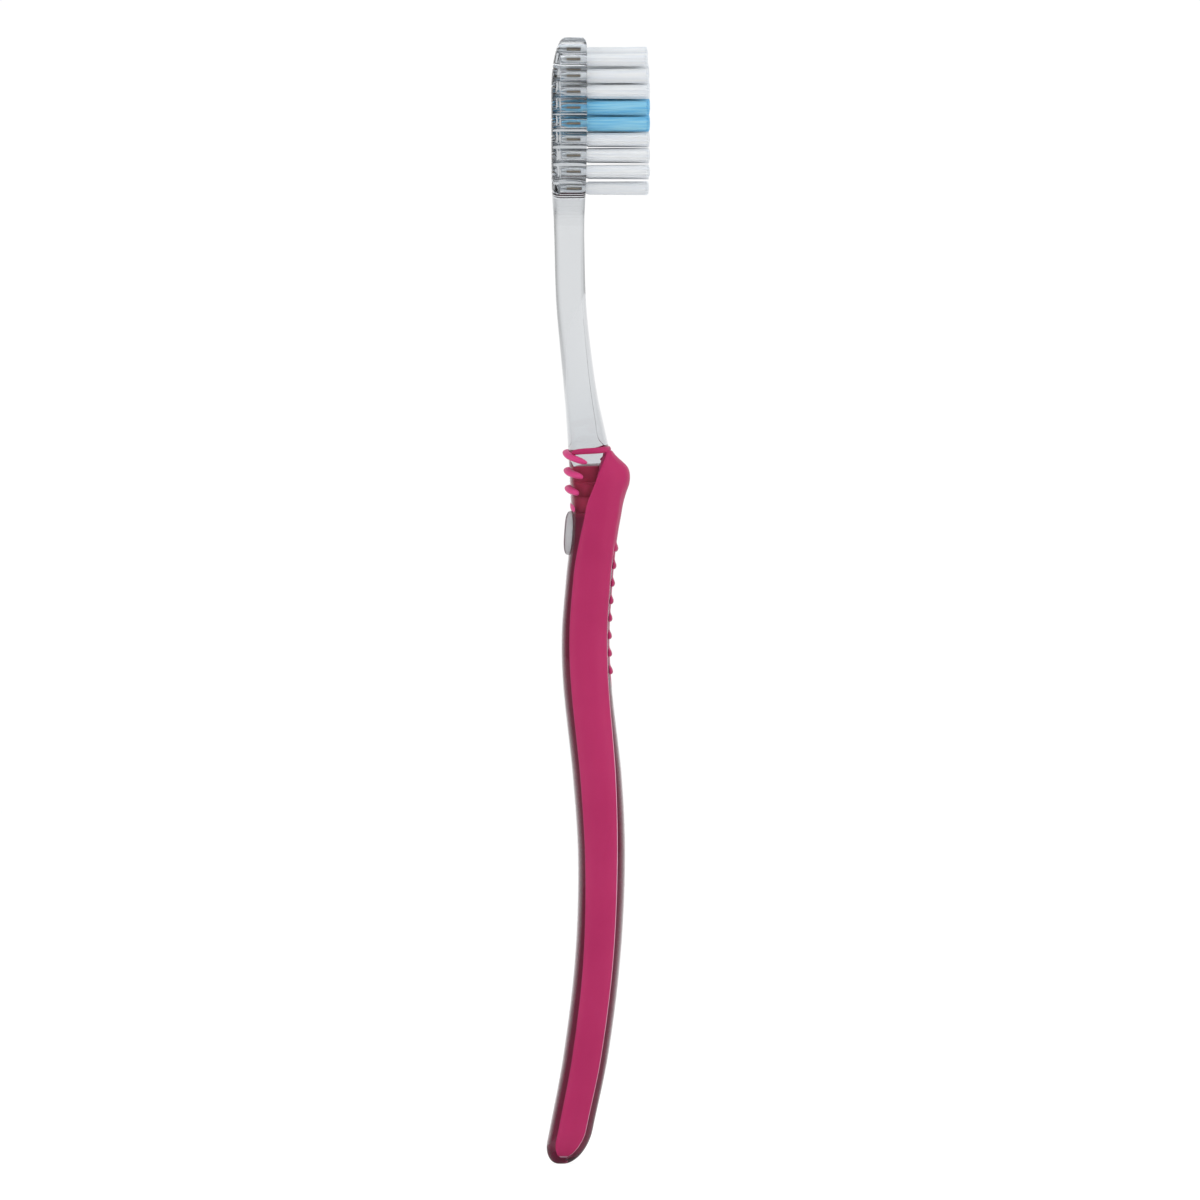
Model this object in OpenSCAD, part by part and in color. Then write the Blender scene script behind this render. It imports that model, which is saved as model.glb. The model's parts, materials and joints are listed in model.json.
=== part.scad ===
// Manual toothbrush, standing upright as it is shown.
// +Z runs from the heel of the handle to the tip of the head, +X is the way the bristles point,
// and the brush is the same on both sides of the plane Y = 0. Millimetres.
// The clear body is one hollow moulding, filled with a core of elastomer that shows through it.
// Soft grips are moulded into recesses in it, and each tuft of bristles is folded round a small
// metal anchor and driven into its own blind hole.

/* [Whole brush] */
// Length of the handle, from the heel to the collar
handle_l = 120.6; // [105:0.1:135]
// Length of the neck, from the collar to the head
neck_l = 42.4; // [34:0.1:52]
// Length of the head
head_l = 27; // [25:0.1:31]
// How far the middle of the handle sways forward of the heel
sway = 9.2; // [5:0.1:12]

/* [Clear body] */
// Largest depth of the handle, from back to front
handle_d = 8.3; // [7.6:0.1:10]
// Largest width of the handle
handle_w = 13.4; // [12:0.1:16]
// Depth of the neck where it is thinnest
neck_d = 5.06; // [4.4:0.01:6]
// Width of the neck where it is thinnest
neck_w = 5.6; // [4.8:0.1:7]
// Depth of the head, from its back to the bristle face
head_d = 6.07; // [5.4:0.01:7]
// Width of the head
head_w = 11.8; // [11.4:0.1:13]
// Length over which the heel rounds in, seen from the front
heel_round = 6; // [4:0.1:8]
// Length over which the tip of the head rounds in, seen from the front
tip_round = 5.6; // [4:0.1:7]
// Length of the low dome on the back of the handle
dome_l = 7.4; // [5:0.1:9]
// Width of the dome
dome_w = 6.4; // [4:0.1:8]
// Height of the dome
dome_h = 1.1; // [0.5:0.1:1.6]

/* [Side grips] */
// Depth of the recesses that the soft grips fill
grip_depth = 1.1; // [0.7:0.05:1.3]
// How far the side grips stand proud of the clear body
grip_proud = 0.3; // [0.15:0.05:0.6]
// Clearance between a soft grip and its recess
grip_clear = 0.04; // [0.02:0.01:0.06]
// Distance from the heel to the lower end of the side grips
grip_start = 1.4; // [1:0.1:3]

/* [Core] */
// Thickness of the clear wall between a recess and the core
core_web = 0.4; // [0.3:0.05:0.6]
// Distance from the heel to the core
core_start = 1.9; // [1.5:0.1:4]
// Distance from the collar down to the top of the core
core_below = 3.05; // [2.5:0.05:5]
// Height of one step in the sides of the core
core_step_l = 2.6; // [2:0.1:3]
// How far a step is cut into a side
core_step_in = 1.1; // [0.5:0.1:1.4]
// Clearance between the core and the clear body
core_clear = 0.04; // [0.02:0.01:0.06]

/* [Thumb rest] */
// Length of the thumb rest, from its lower end to the collar
thumb_l = 40.4; // [39:0.1:44]
// Clear seam left between the ribbed part of the thumb rest and a side grip
thumb_seam = 0.9; // [0.6:0.05:1.2]
// Height of the shoulder that the thumb rests against
shoulder_h = 2.7; // [1.5:0.1:3.6]
// Length of the shoulder
shoulder_l = 16.5; // [12:0.1:18]
// Number of cross ribs
thumb_ribs = 8; // [4:1:8]
// Distance between two cross ribs
thumb_rib_pitch = 2.95; // [2.4:0.01:3]
// Width of a cross rib
thumb_rib_w = 1.1; // [0.8:0.05:1.4]
// Height of a cross rib
thumb_rib_h = 0.42; // [0.25:0.01:0.6]

/* [Finger ribs and collar] */
// Thickness of a finger rib
finger_rib_w = 1.2; // [1:0.05:1.6]
// Height of the finger ribs at the middle of the back
finger_rib_h = 1; // [0.5:0.05:1.3]
// Distance between the finger ribs
finger_rib_pitch = 3; // [2.6:0.05:3.4]
// Height of the collar band, along the brush
collar_w = 1; // [0.8:0.05:1.2]
// How far the collar band stands proud
collar_h = 0.35; // [0.2:0.05:0.6]

/* [Bristles] */
// Free length of the bristles
bristle_l = 10.7; // [8:0.1:12.5]
// Diameter of a tuft hole
hole_d = 1.9; // [1.75:0.05:2]
// Depth of a tuft hole
hole_depth = 4.3; // [3.6:0.1:4.4]
// Distance from the tip of the head to the outer tufts of the first row
first_row = 3.95; // [3.8:0.05:4.3]
// How far the middle of the first row bows towards the tip; the last row is straight
row_bow = 1.35; // [0.6:0.05:1.4]
// Distance from the lower end of the head to the last row of tufts
last_row = 1.6; // [1.5:0.05:2.4]
// Distance from the side of the head to the outer tufts
tuft_margin = 2.15; // [2.1:0.05:2.3]
// Thickness of one bristle strand
strand_d = 0.4; // [0.34:0.01:0.42]
// Clearance round the foot of a tuft
tuft_clear = 0.03; // [0.02:0.01:0.05]
// Length of a metal anchor, along its hole
anchor_l = 2.2; // [1.6:0.1:2.4]
// Thickness of a metal anchor
anchor_t = 0.3; // [0.2:0.02:0.4]
// Clearance round a metal anchor
anchor_clear = 0.02; // [0.01:0.01:0.03]

/* [Hidden] */
// Overrun of the cuts
over = 0.4;
// Sides of the tuft holes and of the feet of the tufts, which lie flat against each other
hole_sides = 12;
brush_l = handle_l + neck_l + head_l;

// Outline of the clear body, by places along the handle, the neck and the head.
// For each place: the middle line, the depth and the width.
handle_at_shares = [0, 0.05, 0.15, 0.285, 0.42, 0.535, 0.67, 0.74, 0.82, 0.89, 0.955, 1];
handle_sway_shares = [0.314, 0.447, 0.707, 0.926, 1, 0.929, 0.739, 0.707, 0.779, 0.862, 0.811, 0.761];
handle_depth_shares = [0.878, 0.881, 0.916, 0.925, 0.955, 0.996, 0.988, 0.972, 0.955, 0.935, 0.875, 0.834];
handle_width_shares = [0.8, 0.86, 0.93, 0.98, 1, 0.99, 0.93, 0.9, 0.91, 0.94, 0.9, 0.79];
neck_at_shares = [0.21, 0.4, 0.59, 0.83, 0.92];
neck_sway_shares = [0.627, 0.523, 0.44, 0.408, 0.402];
neck_depth_shares = [1.117, 1.034, 1, 1, 1.03];
neck_width_shares = [1.5, 1.19, 1.03, 1, 1.12];
head_at_shares = [0, 0.12, 0.26, 0.5, 1];
head_sway_shares = [0.398, 0.399, 0.401, 0.403, 0.403];
head_depth_shares = [0.931, 0.97, 0.99, 1, 1];
head_width_shares = [0.76, 0.93, 1, 1, 1];
function spread_out(start, length, shares) = [for (share = shares) start + length * share];
places = concat(handle_l * handle_at_shares, spread_out(handle_l, neck_l, neck_at_shares),
                spread_out(handle_l + neck_l, head_l, head_at_shares));
middles = sway * concat(handle_sway_shares, neck_sway_shares, head_sway_shares);
depths = concat(handle_d * handle_depth_shares, neck_d * neck_depth_shares, head_d * head_depth_shares);
widths = concat(handle_w * handle_width_shares, neck_w * neck_width_shares, head_w * head_width_shares);

// Squareness of the cross-section: 2 is an ellipse, and more is nearer to a rectangle.
// The bristle face is cut flat, so in the head the section behind it would bulge past it by a crown.
neck_middle_share = 0.5;
head_full_share = 0.25;
head_full = handle_l + neck_l + head_l * head_full_share;
shape_places = [0, handle_l, handle_l + neck_l * neck_middle_share, handle_l + neck_l, head_full, brush_l];
squares = [2.5, 2.6, 2.8, 3.4, 5, 5];
crown_shares = [0, 0, 0, 0.075, 0.15, 0.15];
crowns = head_d * crown_shares;

// Rounding of the two ends, seen from the side: how far each corner reaches and draws in
heel_back_reach = 4;
heel_back_in = 2.7;
heel_front_reach = 5.9;
heel_front_in = 3.7;
heel_flat_w = 2.4;
tip_back_reach = 9;
tip_back_in = 2.4;
tip_front_reach = 1.8;
tip_front_in = 1;
tip_flat_w = 3;

// Edges of the side grip, as shares of the depth of the body from its back.
// Above the handle they are only the lines on which the mesh of the clear body is laid out.
grip_at_shares = [0, 0.25, 0.45, 0.7, 0.83, 0.872, 0.906, 0.923, 0.956, 0.975, 0.991, 1];
grip_above_shares = [0.04, 0.12, 0.25, 1.6];
grip_at = concat(handle_l * grip_at_shares, spread_out(handle_l, neck_l, grip_above_shares));
grip_back_shares =
    [0.215, 0.2, 0.155, 0.17, 0.165, 0.205, 0.3, 0.37, 0.62, 0.765, 0.89, 0.9, 0.8, 0.5, 0.3, 0.25];
grip_front_shares =
    [0.84, 0.84, 0.84, 0.942, 0.945, 0.95, 0.955, 0.955, 0.955, 0.955, 0.955, 0.955, 0.94, 0.9, 0.87, 0.85];
grip_back_end_share = 0.26;
grip_back_end_reach = 3.2;
grip_front_end_share = 0.28;
grip_front_end_reach = 4.2;
grip_end_share = 0.992;
grip_end = handle_l * grip_end_share;
// Run of the sloping walls of a recess, and the most of a strip that a wall or a clearance may take
grip_wall = 0.18;
grip_end_wall = 0.25;
wall_most_share = 0.2;
clear_most_share = 0.05;
// Crown of a side grip across its width, from its front edge to its back edge
grip_across_shares = [0, 0.07, 0.3, 0.6, 0.93, 1];
grip_crown_shares = [0, 0.8, 1, 1, 0.8, 0];

// Core: its sections are those of the clear body, drawn in by a wall. The steps in its sides stand
// under its top, and its lower end is round, more so at the back of the heel.
core_wall = grip_depth + core_web;
core_top = handle_l - core_below;
core_steps = 3;
core_foot = core_top - core_steps * core_step_l;
core_middle = (core_start + core_foot) / 2;
core_ledge = 0.05;
core_end_reach = 3;
core_end_in = 1.6;
core_heel_reach = 6.5;
core_heel_in = 2.4;
core_end_n = 3;
core_n = 11;
core_sides = 10;

// Thumb rest: it starts as a narrow pad with cross ribs, merges with the side grips below its
// shoulder and ends under the collar. The shoulder is given by places from its foot upwards.
thumb_start = handle_l - thumb_l;
thumb_end = handle_l - collar_w / 2 - grip_clear;
thumb_round = 4;
thumb_round_share = 0.85;
rib_margin = 2.9;
thumb_first_rib = thumb_start + rib_margin;
rib_step_shares = [-1, -0.6, 0.6, 1];
shoulder_top = handle_l + collar_w / 2;
shoulder_foot = shoulder_top - shoulder_l;
shoulder_at_shares = [0, 0.16, 0.29, 0.41, 0.52, 0.62, 0.725, 0.795, 0.9, 1];
shoulder_out_shares = [0, 0.1, 0.26, 0.44, 0.68, 0.93, 1, 0.88, 0.34, 0];
merge_l = 3;
merge_seam = 0.16;

// Finger ribs, from the collar down: how far round the side each one reaches, as a share of the
// depth of the body, how far it drops on the way, and its height
finger_reach_shares = [0.44, 0.32, 0.2, 0.09];
finger_drop_shares = [0.58, 0.39, 0.3, 0.2];
finger_height_shares = [1, 1, 0.95, 0.15];
finger_below = 0.65;
finger_first = handle_l - finger_below;
dome_below = 14.2;
dome_z = handle_l - dome_below;
collar_drop = 0.7;
collar_reach_share = 0.2;
// Flanks of the dome: 2 rounds them like an ellipse, and more makes them steeper
dome_square = 6;
// Stations along a rib or the collar band from its middle, and how far its ends draw in
bead_shares = [-1, -0.97, -0.86, -0.68, -0.45, -0.2, 0, 0.2, 0.45, 0.68, 0.86, 0.97, 1];
bead_taper_share = 0.96;
bead_n = 6;

// Tufts: how many stand in each row, from the tip down, and which rows are blue
row_counts = [4, 4, 4, 4, 4, 4, 4, 4, 3];
blue_rows = [3, 4];
row_pitch = (head_l - first_row - last_row) / (len(row_counts) - 1);
column_pitch = (head_w - 2 * tuft_margin) / 3;
outer_y = column_pitch * 3 / 2;
// Strands of a tuft: how many stand in each ring, how far out and how far they spread at the tip
ring_counts = [3, 7];
ring_shares = [0.29, 0.77];
spread_shares = [0.1, 0.3];
strand_sides = 3;
strand_foot = 0.6;
anchor_below = 1.15;

// Layout of the mesh of the clear body: steps across the back, a grip, a seam and the front
back_n = 6;
grip_n = 4;
seam_n = 1;
front_n = 3;
heel_n = 6;
tip_n = 5;
shoulder_n = 6;
neck_n = 11;
handle_step = 5;
step_gap = 0.3;
letters = "abcd";

// Smooth curve through a table of values: which span a place lies in, and the value there
function span_of(at, z, i = 0) = i >= len(at) - 2 || z < at[i + 1] ? i : span_of(at, z, i + 1);
function slope_at(at, values, i) =
    let (a = max(i - 1, 0), b = min(i + 1, len(at) - 1))
    (values[b] - values[a]) / (at[b] - at[a]);
function along(at, values, z) =
    let (i = span_of(at, z),
         h = at[i + 1] - at[i],
         s = min(max((z - at[i]) / h, 0), 1))
    (2 * pow(s, 3) - 3 * s * s + 1) * values[i] + (pow(s, 3) - 2 * s * s + s) * h * slope_at(at, values, i)
    + (3 * s * s - 2 * pow(s, 3)) * values[i + 1] + (pow(s, 3) - s * s) * h * slope_at(at, values, i + 1);
function mix(a, b, s) = a + (b - a) * s;
// Quarter of an ellipse: what a rounded corner takes away at a distance from the end
function corner(distance, reach, amount) =
    distance >= reach ? 0 : amount * (1 - sqrt(1 - pow(1 - max(distance, 0) / reach, 2)));
// A list in rising order, each value once
function sorted(v) =
    len(v) < 1 ? [] :
    let (p = v[floor(len(v) / 2)])
    concat(sorted([for (e = v) if (e < p) e]), [p], sorted([for (e = v) if (e > p) e]));

// Cross-section of the clear body at a height: middle, half depth, half width, squareness,
// crown and bristle face
function back_at(z) =
    along(places, middles, z) - along(places, depths, z) / 2
    + corner(z, heel_back_reach, heel_back_in) + corner(brush_l - z, tip_back_reach, tip_back_in);
function front_at(z) =
    along(places, middles, z) + along(places, depths, z) / 2
    - corner(z, heel_front_reach, heel_front_in) - corner(brush_l - z, tip_front_reach, tip_front_in);
function half_width_at(z) =
    let (w = along(places, widths, z) / 2)
    w - corner(z, heel_round, w - heel_flat_w / 2) - corner(brush_l - z, tip_round, w - tip_flat_w / 2);
// Heights of the rings: those that a recess, the dome or an end needs, and steps between them
needed = concat(
    [0, brush_l, grip_start - grip_end_wall, grip_start, grip_end, grip_end + grip_end_wall],
    [thumb_start - grip_end_wall, thumb_start, thumb_end, thumb_end + grip_end_wall],
    [shoulder_foot - merge_l, for (i = [0 : shoulder_n - 1]) mix(shoulder_foot, grip_end, i / shoulder_n)],
    [for (i = [0 : len(row_counts)]) brush_l - first_row + row_pitch * (0.5 - i)]);
steps = concat(
    [for (i = [1 : heel_n]) heel_round * (1 - cos(90 * i / heel_n))],
    [for (z = [heel_round + handle_step : handle_step : grip_end]) z],
    [for (i = [-2 : 2]) dome_z + dome_l / 2 * sin(45 * i)],
    [for (i = [1 : neck_n]) handle_l + neck_l * i / neck_n],
    [for (i = [1 : tip_n]) brush_l - first_row * (1 - cos(90 * i / tip_n))]);
stations = sorted(concat(needed, [for (z = steps) if (min([for (f = needed) abs(z - f)]) > step_gap) z]));
box_middle = (min([for (z = stations) back_at(z)]) + front_at(head_full) + bristle_l) / 2;
function section(z) =
    let (back = back_at(z) - box_middle, front = front_at(z) - box_middle)
    [(back + front) / 2, (front - back) / 2, half_width_at(z), along(shape_places, squares, z),
     along(shape_places, crowns, z), front];
// Points of a section by angle: 0 is the middle of the back and 180 the middle of the front
function on_skin(s, t) =
    let (reach = pow(abs(cos(t)), 2 / s[3]))
    [t < 90 ? s[0] - s[1] * reach : min(s[0] + (s[1] + s[4]) * reach, s[5]), s[2] * pow(sin(t), 2 / s[3])];
function outward(s, t) =
    let (k = 2 - 2 / s[3],
         n = [-sign(cos(t)) * pow(abs(cos(t)), k) / s[1], pow(sin(t), k) / s[2]])
    n / norm(n);
function lifted(s, t, h) = on_skin(s, t) + h * outward(s, t);
function angle_of_share(s, u) = acos(sign(1 - 2 * u) * pow(abs(1 - 2 * u), s[3] / 2));
function angle_of_width(s, y) = 180 - asin(pow(min(max(y / s[2], 0), 1), s[3] / 2));
// Angle that spans a small length of skin
function angle_for(s, t, size) =
    let (m = min(max(t, 1), 179))
    2 * size / norm(on_skin(s, m + 1) - on_skin(s, m - 1));
function in_space(p, z) = [p[0], p[1], z];
function both_sides(half) =
    concat(half, [for (i = [len(half) - 2 : -1 : 1]) [half[i][0], -half[i][1], half[i][2]]]);

// Edges of the grips at a height, as angles
function grip_back(s, z) =
    angle_of_share(s, along(grip_at, grip_back_shares, z)
                      + corner(z - grip_start, grip_back_end_reach, grip_back_end_share));
function grip_front(s, z) =
    angle_of_share(s, along(grip_at, grip_front_shares, z)
                      - corner(z - grip_start, grip_front_end_reach, grip_front_end_share));
function merge(z) = min(max((z - shoulder_foot) / merge_l + 1, 0), 1);
function seam_front(s, z) =
    let (w = on_skin(s, grip_front(s, z))[1] - max(thumb_seam * (1 - merge(z)), merge_seam))
    angle_of_width(s, w - corner(z - thumb_start, thumb_round, w * thumb_round_share));
function grip_sunk(z) = z >= grip_start && z <= grip_end ? grip_depth : 0;
function thumb_sunk(z) = z >= thumb_start && z <= thumb_end ? grip_depth : 0;
function seam_sunk(z) = thumb_sunk(z) * merge(z);
function dome_at(y, z) =
    dome_h * sqrt(max(1 - pow((z - dome_z) / (dome_l / 2), 2) - pow(abs(y) / (dome_w / 2), dome_square), 0));

// Solid through a stack of rings, each with its points anticlockwise seen from above
module loft(rings) {
    n = len(rings[0]);
    last = len(rings) - 1;
    points = concat([for (ring = rings) each ring],
                    [for (ring = [rings[0], rings[last]]) [for (p = ring) 1 / n] * ring]);
    sides = [for (i = [0 : last - 1], j = [0 : n - 1]) each
        let (a = i * n + j, b = i * n + (j + 1) % n) [[a, a + n, b + n], [a, b + n, b]]];
    bottom = [for (j = [0 : n - 1]) [j, (j + 1) % n, n * (last + 1)]];
    top = [for (j = [0 : n - 1]) [last * n + (j + 1) % n, last * n + j, n * (last + 1) + 1]];
    polyhedron(points, concat(sides, bottom, top));
}

function body_ring(z) =
    let (s = section(z),
         t0 = grip_back(s, z),
         t1 = grip_front(s, z),
         t2 = seam_front(s, z),
         w0 = min(angle_for(s, t0, grip_wall), (t1 - t0) * wall_most_share),
         w1 = min(angle_for(s, t1, grip_wall), (t1 - t0) * wall_most_share),
         w2 = min(angle_for(s, t2, grip_wall), (180 - t2) * wall_most_share))
    both_sides(concat(
        [for (i = [0 : front_n]) in_space(lifted(s, mix(180, t2 + w2, i / front_n), -thumb_sunk(z)), z)],
        [for (i = [0 : seam_n + 1]) in_space(lifted(s, mix(t2, t1, i / (seam_n + 1)), -seam_sunk(z)), z)],
        [for (i = [0 : grip_n]) in_space(lifted(s, mix(t1 - w1, t0 + w0, i / grip_n), -grip_sunk(z)), z)],
        [for (i = [0 : back_n])
            let (p = on_skin(s, t0 * (1 - i / back_n)))
            [p[0] - dome_at(p[1], z), p[1], z]]));

module handle_body() {
    color("#d4d8db")
    difference() {
        loft([for (z = stations) body_ring(z)]);
        loft([for (z = core_stations) core_ring(z, core_clear)]);
        for (r = [0 : len(row_counts) - 1], c = [0 : row_counts[r] - 1])
            at_tuft(r, c) tuft_hole();
    }
}

// Heights of the rings of the core: its lower end, its length, and two for the edge of each step
core_stations = concat(
    [for (i = [0 : core_end_n]) core_start + core_end_reach * (1 - cos(90 * i / core_end_n))],
    [for (i = [1 : core_n - 1]) mix(core_start + core_end_reach, core_foot, i / core_n)],
    [for (k = [core_steps : -1 : 1], rise = [0, core_ledge]) core_top - k * core_step_l + rise],
    [core_top]);
// How far a side is cut in at a height: nothing at the top of a step, and most at its foot
function step_in(z) =
    let (down = (core_top - z) / core_step_l)
    down >= core_steps ? 0 : core_step_in * (down - floor(down));
// Section of the core, or of the space for it where it is wider by a clearance all round
function core_ring(z, wider) =
    let (s = section(z),
         wall = core_wall - wider + corner(z - core_start, core_end_reach, core_end_in),
         heel = corner(z - core_start, core_heel_reach, core_heel_in),
         slim = [s[0] + heel / 2, s[1] - wall - heel / 2, s[2] - wall - step_in(z), s[3], 0, s[5] - wall],
         lift = z > core_middle ? wider : -wider)
    [for (i = [0 : core_sides - 1])
        let (turn = 360 * i / core_sides,
             p = on_skin(slim, turn > 180 ? 360 - turn : turn))
        [p[0], turn > 180 ? p[1] : -p[1], z + lift]];

module grip_core() {
    color("#8e1f4c")
    loft([for (z = core_stations) core_ring(z, 0)]);
}

// Outer skin of the soft grips: proud of the clear body, and drawn forward at the shoulder
function shoulder_at(z) =
    shoulder_h * along(shoulder_l * shoulder_at_shares, shoulder_out_shares, z - shoulder_foot);
// Share of the shoulder's height at a place: the grips leave the clear skin as it rises
function rise_at(z) = shoulder_at(z) / shoulder_h;
// The draw begins at the back edge of the side grip, so that this edge stays on the clear skin
function forward(s, t) = -sign(cos(t)) * pow(abs(cos(t)), 2 / s[3]);
function grip_skin(s, t, h, z) =
    let (start = max(forward(s, grip_back(s, z)), 0))
    lifted(s, t, h) + [shoulder_at(z) * max(forward(s, t) - start, 0) / (1 - start), 0];

function grip_ring(z) =
    let (s = section(z),
         t0 = grip_back(s, z),
         t1 = grip_front(s, z),
         c0 = min(angle_for(s, t0, grip_clear), (t1 - t0) * clear_most_share),
         c1 = min(angle_for(s, t1, grip_clear), (t1 - t0) * clear_most_share),
         w0 = min(angle_for(s, t0, grip_wall), (t1 - t0) * wall_most_share) + c0,
         w1 = min(angle_for(s, t1, grip_wall), (t1 - t0) * wall_most_share) + c1,
         last = len(grip_across_shares) - 1)
    concat(
        [for (i = [0 : last])
            let (t = mix(t1 - c1, t0 + c0, grip_across_shares[i]),
                 h = grip_proud * max(grip_crown_shares[i], i < last ? rise_at(z) : 0))
            in_space(grip_skin(s, t, h, z), z)],
        [for (i = [grip_n : -1 : 0])
            in_space(lifted(s, mix(t1 - w1, t0 + w0, i / grip_n), grip_clear - grip_depth), z)]);

module side_grip() {
    between = [for (z = stations) if (z > grip_start && z < grip_end) z];
    loft([for (z = concat([grip_start + grip_clear], between, [grip_end - grip_clear])) grip_ring(z)]);
}

module side_grip_left() {
    color("#b0306a") side_grip();
}

module side_grip_right() {
    color("#b0306a") mirror([0, 1, 0]) side_grip();
}

function thumb_rib_at(z) =
    let (middles = [for (k = [0 : thumb_ribs - 1]) thumb_first_rib + k * thumb_rib_pitch],
         away = [for (m = middles) (z - m) / (thumb_rib_w / 2)])
    thumb_rib_h * max([for (a = away) sqrt(max(1 - a * a, 0))]);

function thumb_ring(z) =
    let (s = section(z),
         t1 = grip_front(s, z),
         t2 = seam_front(s, z),
         edge = mix(t2, t1, merge(z)) + angle_for(s, t2, grip_clear),
         wall = min(angle_for(s, t2, grip_wall + grip_clear), (180 - t2) * wall_most_share),
         foot = mix(t2, t1, merge(z)) + wall)
    both_sides(concat(
        [for (i = [0 : front_n + 1])
            let (t = mix(180, edge, i / (front_n + 1)),
                 h = grip_proud * rise_at(z) + (i <= front_n ? thumb_rib_at(z) : 0))
            in_space(grip_skin(s, t, h, z), z)],
        [for (i = [front_n : -1 : 0])
            in_space(lifted(s, mix(180, foot, i / front_n), grip_clear - grip_depth), z)]));

module thumb_rest() {
    ribs = [for (k = [0 : thumb_ribs - 1], share = rib_step_shares)
        thumb_first_rib + k * thumb_rib_pitch + share * thumb_rib_w / 2];
    shoulder = spread_out(shoulder_foot, shoulder_l, shoulder_at_shares);
    between = [for (z = sorted(concat(stations, ribs, shoulder))) if (z > thumb_start && z < thumb_end) z];
    color("#b52f68")
    loft([for (z = concat([thumb_start + grip_clear], between, [thumb_end - grip_clear])) thumb_ring(z)]);
}

// Rounded bead that lies on the skin and runs from one side to the other through the plane Y = 0,
// falling by a drop on the way from its middle to its ends
module bead(middle_t, end_t, middle_z, drop, thick, rise) {
    loft([for (share = bead_shares)
        let (taper = sqrt(1 - pow(bead_taper_share * share, 8)),
             t = mix(middle_t, end_t, abs(share)),
             side = share < 0 ? -1 : 1)
        concat([for (q = [0 : bead_n])
            let (z = middle_z - drop * abs(share) - cos(180 * q / bead_n) * taper * thick / 2,
                 p = lifted(section(z), t, grip_clear + rise * taper * sin(180 * q / bead_n)))
            [p[0], side * p[1], z]])]);
}

module finger_rib(k) {
    z = finger_first - k * finger_rib_pitch;
    color("#c03a78")
    bead(0, angle_of_share(section(z), finger_reach_shares[k]), z, finger_rib_pitch * finger_drop_shares[k],
         finger_rib_w, finger_rib_h * finger_height_shares[k]);
}

module grip_collar() {
    color("#b83a78")
    bead(180, angle_of_share(section(handle_l), collar_reach_share), handle_l, collar_drop,
         collar_w, collar_h);
}

// Frame of one tuft: its origin is at the mouth of its hole and its +Z is the way its bristles point
face_x = front_at(head_full) - box_middle;
function tuft_y(r, c) = column_pitch * (c - (row_counts[r] - 1) / 2);
function tuft_z(r, c) =
    brush_l - first_row - r * row_pitch
    + row_bow * (1 - r / (len(row_counts) - 1)) * (1 - pow(tuft_y(r, c) / outer_y, 2));
module at_tuft(r, c) {
    translate([face_x, tuft_y(r, c), tuft_z(r, c)])
    rotate([0, 90, 0])
    children();
}

module tuft_hole() {
    translate([0, 0, -hole_depth])
    cylinder(d = hole_d, h = hole_depth + over, $fn = hole_sides);
}

// The anchor is as wide as its hole, and the tuft is folded round its lower edge
module anchor() {
    translate([0, 0, -anchor_below - anchor_l / 2])
    cube([anchor_t, hole_d - 2 * tuft_clear, anchor_l], center = true);
}

module tuft_anchors() {
    color("#8f8a80")
    for (r = [0 : len(row_counts) - 1], c = [0 : row_counts[r] - 1])
        at_tuft(r, c) anchor();
}

function tuft_name(r, c) = str("tuft_", r + 1, letters[c]);

// Foot of a tuft: the folded ends packed together in the hole, open where the anchor passes
module tuft_foot() {
    difference() {
        translate([0, 0, tuft_clear - hole_depth])
        cylinder(d = hole_d - 2 * tuft_clear, h = hole_depth - tuft_clear, $fn = hole_sides);
        translate([0, 0, -anchor_below - anchor_l / 2])
        cube([anchor_t + 2 * anchor_clear, hole_d + over, anchor_l + 2 * anchor_clear], center = true);
    }
}

module strands(count, out, spread) {
    length = (bristle_l + strand_foot) / cos(atan(spread / bristle_l));
    for (i = [0 : count - 1])
        rotate(360 * i / count)
        translate([out, 0, -strand_foot])
        rotate([0, atan(spread / bristle_l), 0])
        rotate(180 / strand_sides)
        cylinder(d = strand_d, h = length, $fn = strand_sides);
}

module tuft(r, c) {
    color(len(search(r, blue_rows)) > 0 ? "#77bde1" : "#e4e8ee")
    at_tuft(r, c) {
        tuft_foot();
        for (k = [0 : len(ring_counts) - 1])
            strands(ring_counts[k], hole_d / 2 * ring_shares[k], hole_d / 2 * spread_shares[k]);
    }
}

handle_body();
grip_core();
side_grip_left();
side_grip_right();
thumb_rest();
grip_collar();
for (k = [0 : len(finger_reach_shares) - 1])
    finger_rib(k);
tuft_anchors();
for (r = [0 : len(row_counts) - 1], c = [0 : row_counts[r] - 1])
    tuft(r, c);
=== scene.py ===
# %% [markdown]
# # A clear toothbrush with soft grips
# This lesson dresses a measured toothbrush. The measured model gives the size, the place and the
# name of each piece; this script gives each piece its final surface and its finish.
# The brush stands upright: +Z runs from the heel to the tip of the head, and +X is the way the
# bristles point. Shapes are worked out in millimetres and turned to metres when a mesh is made.

# %% Load the measured model
import json
import math
import random

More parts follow.
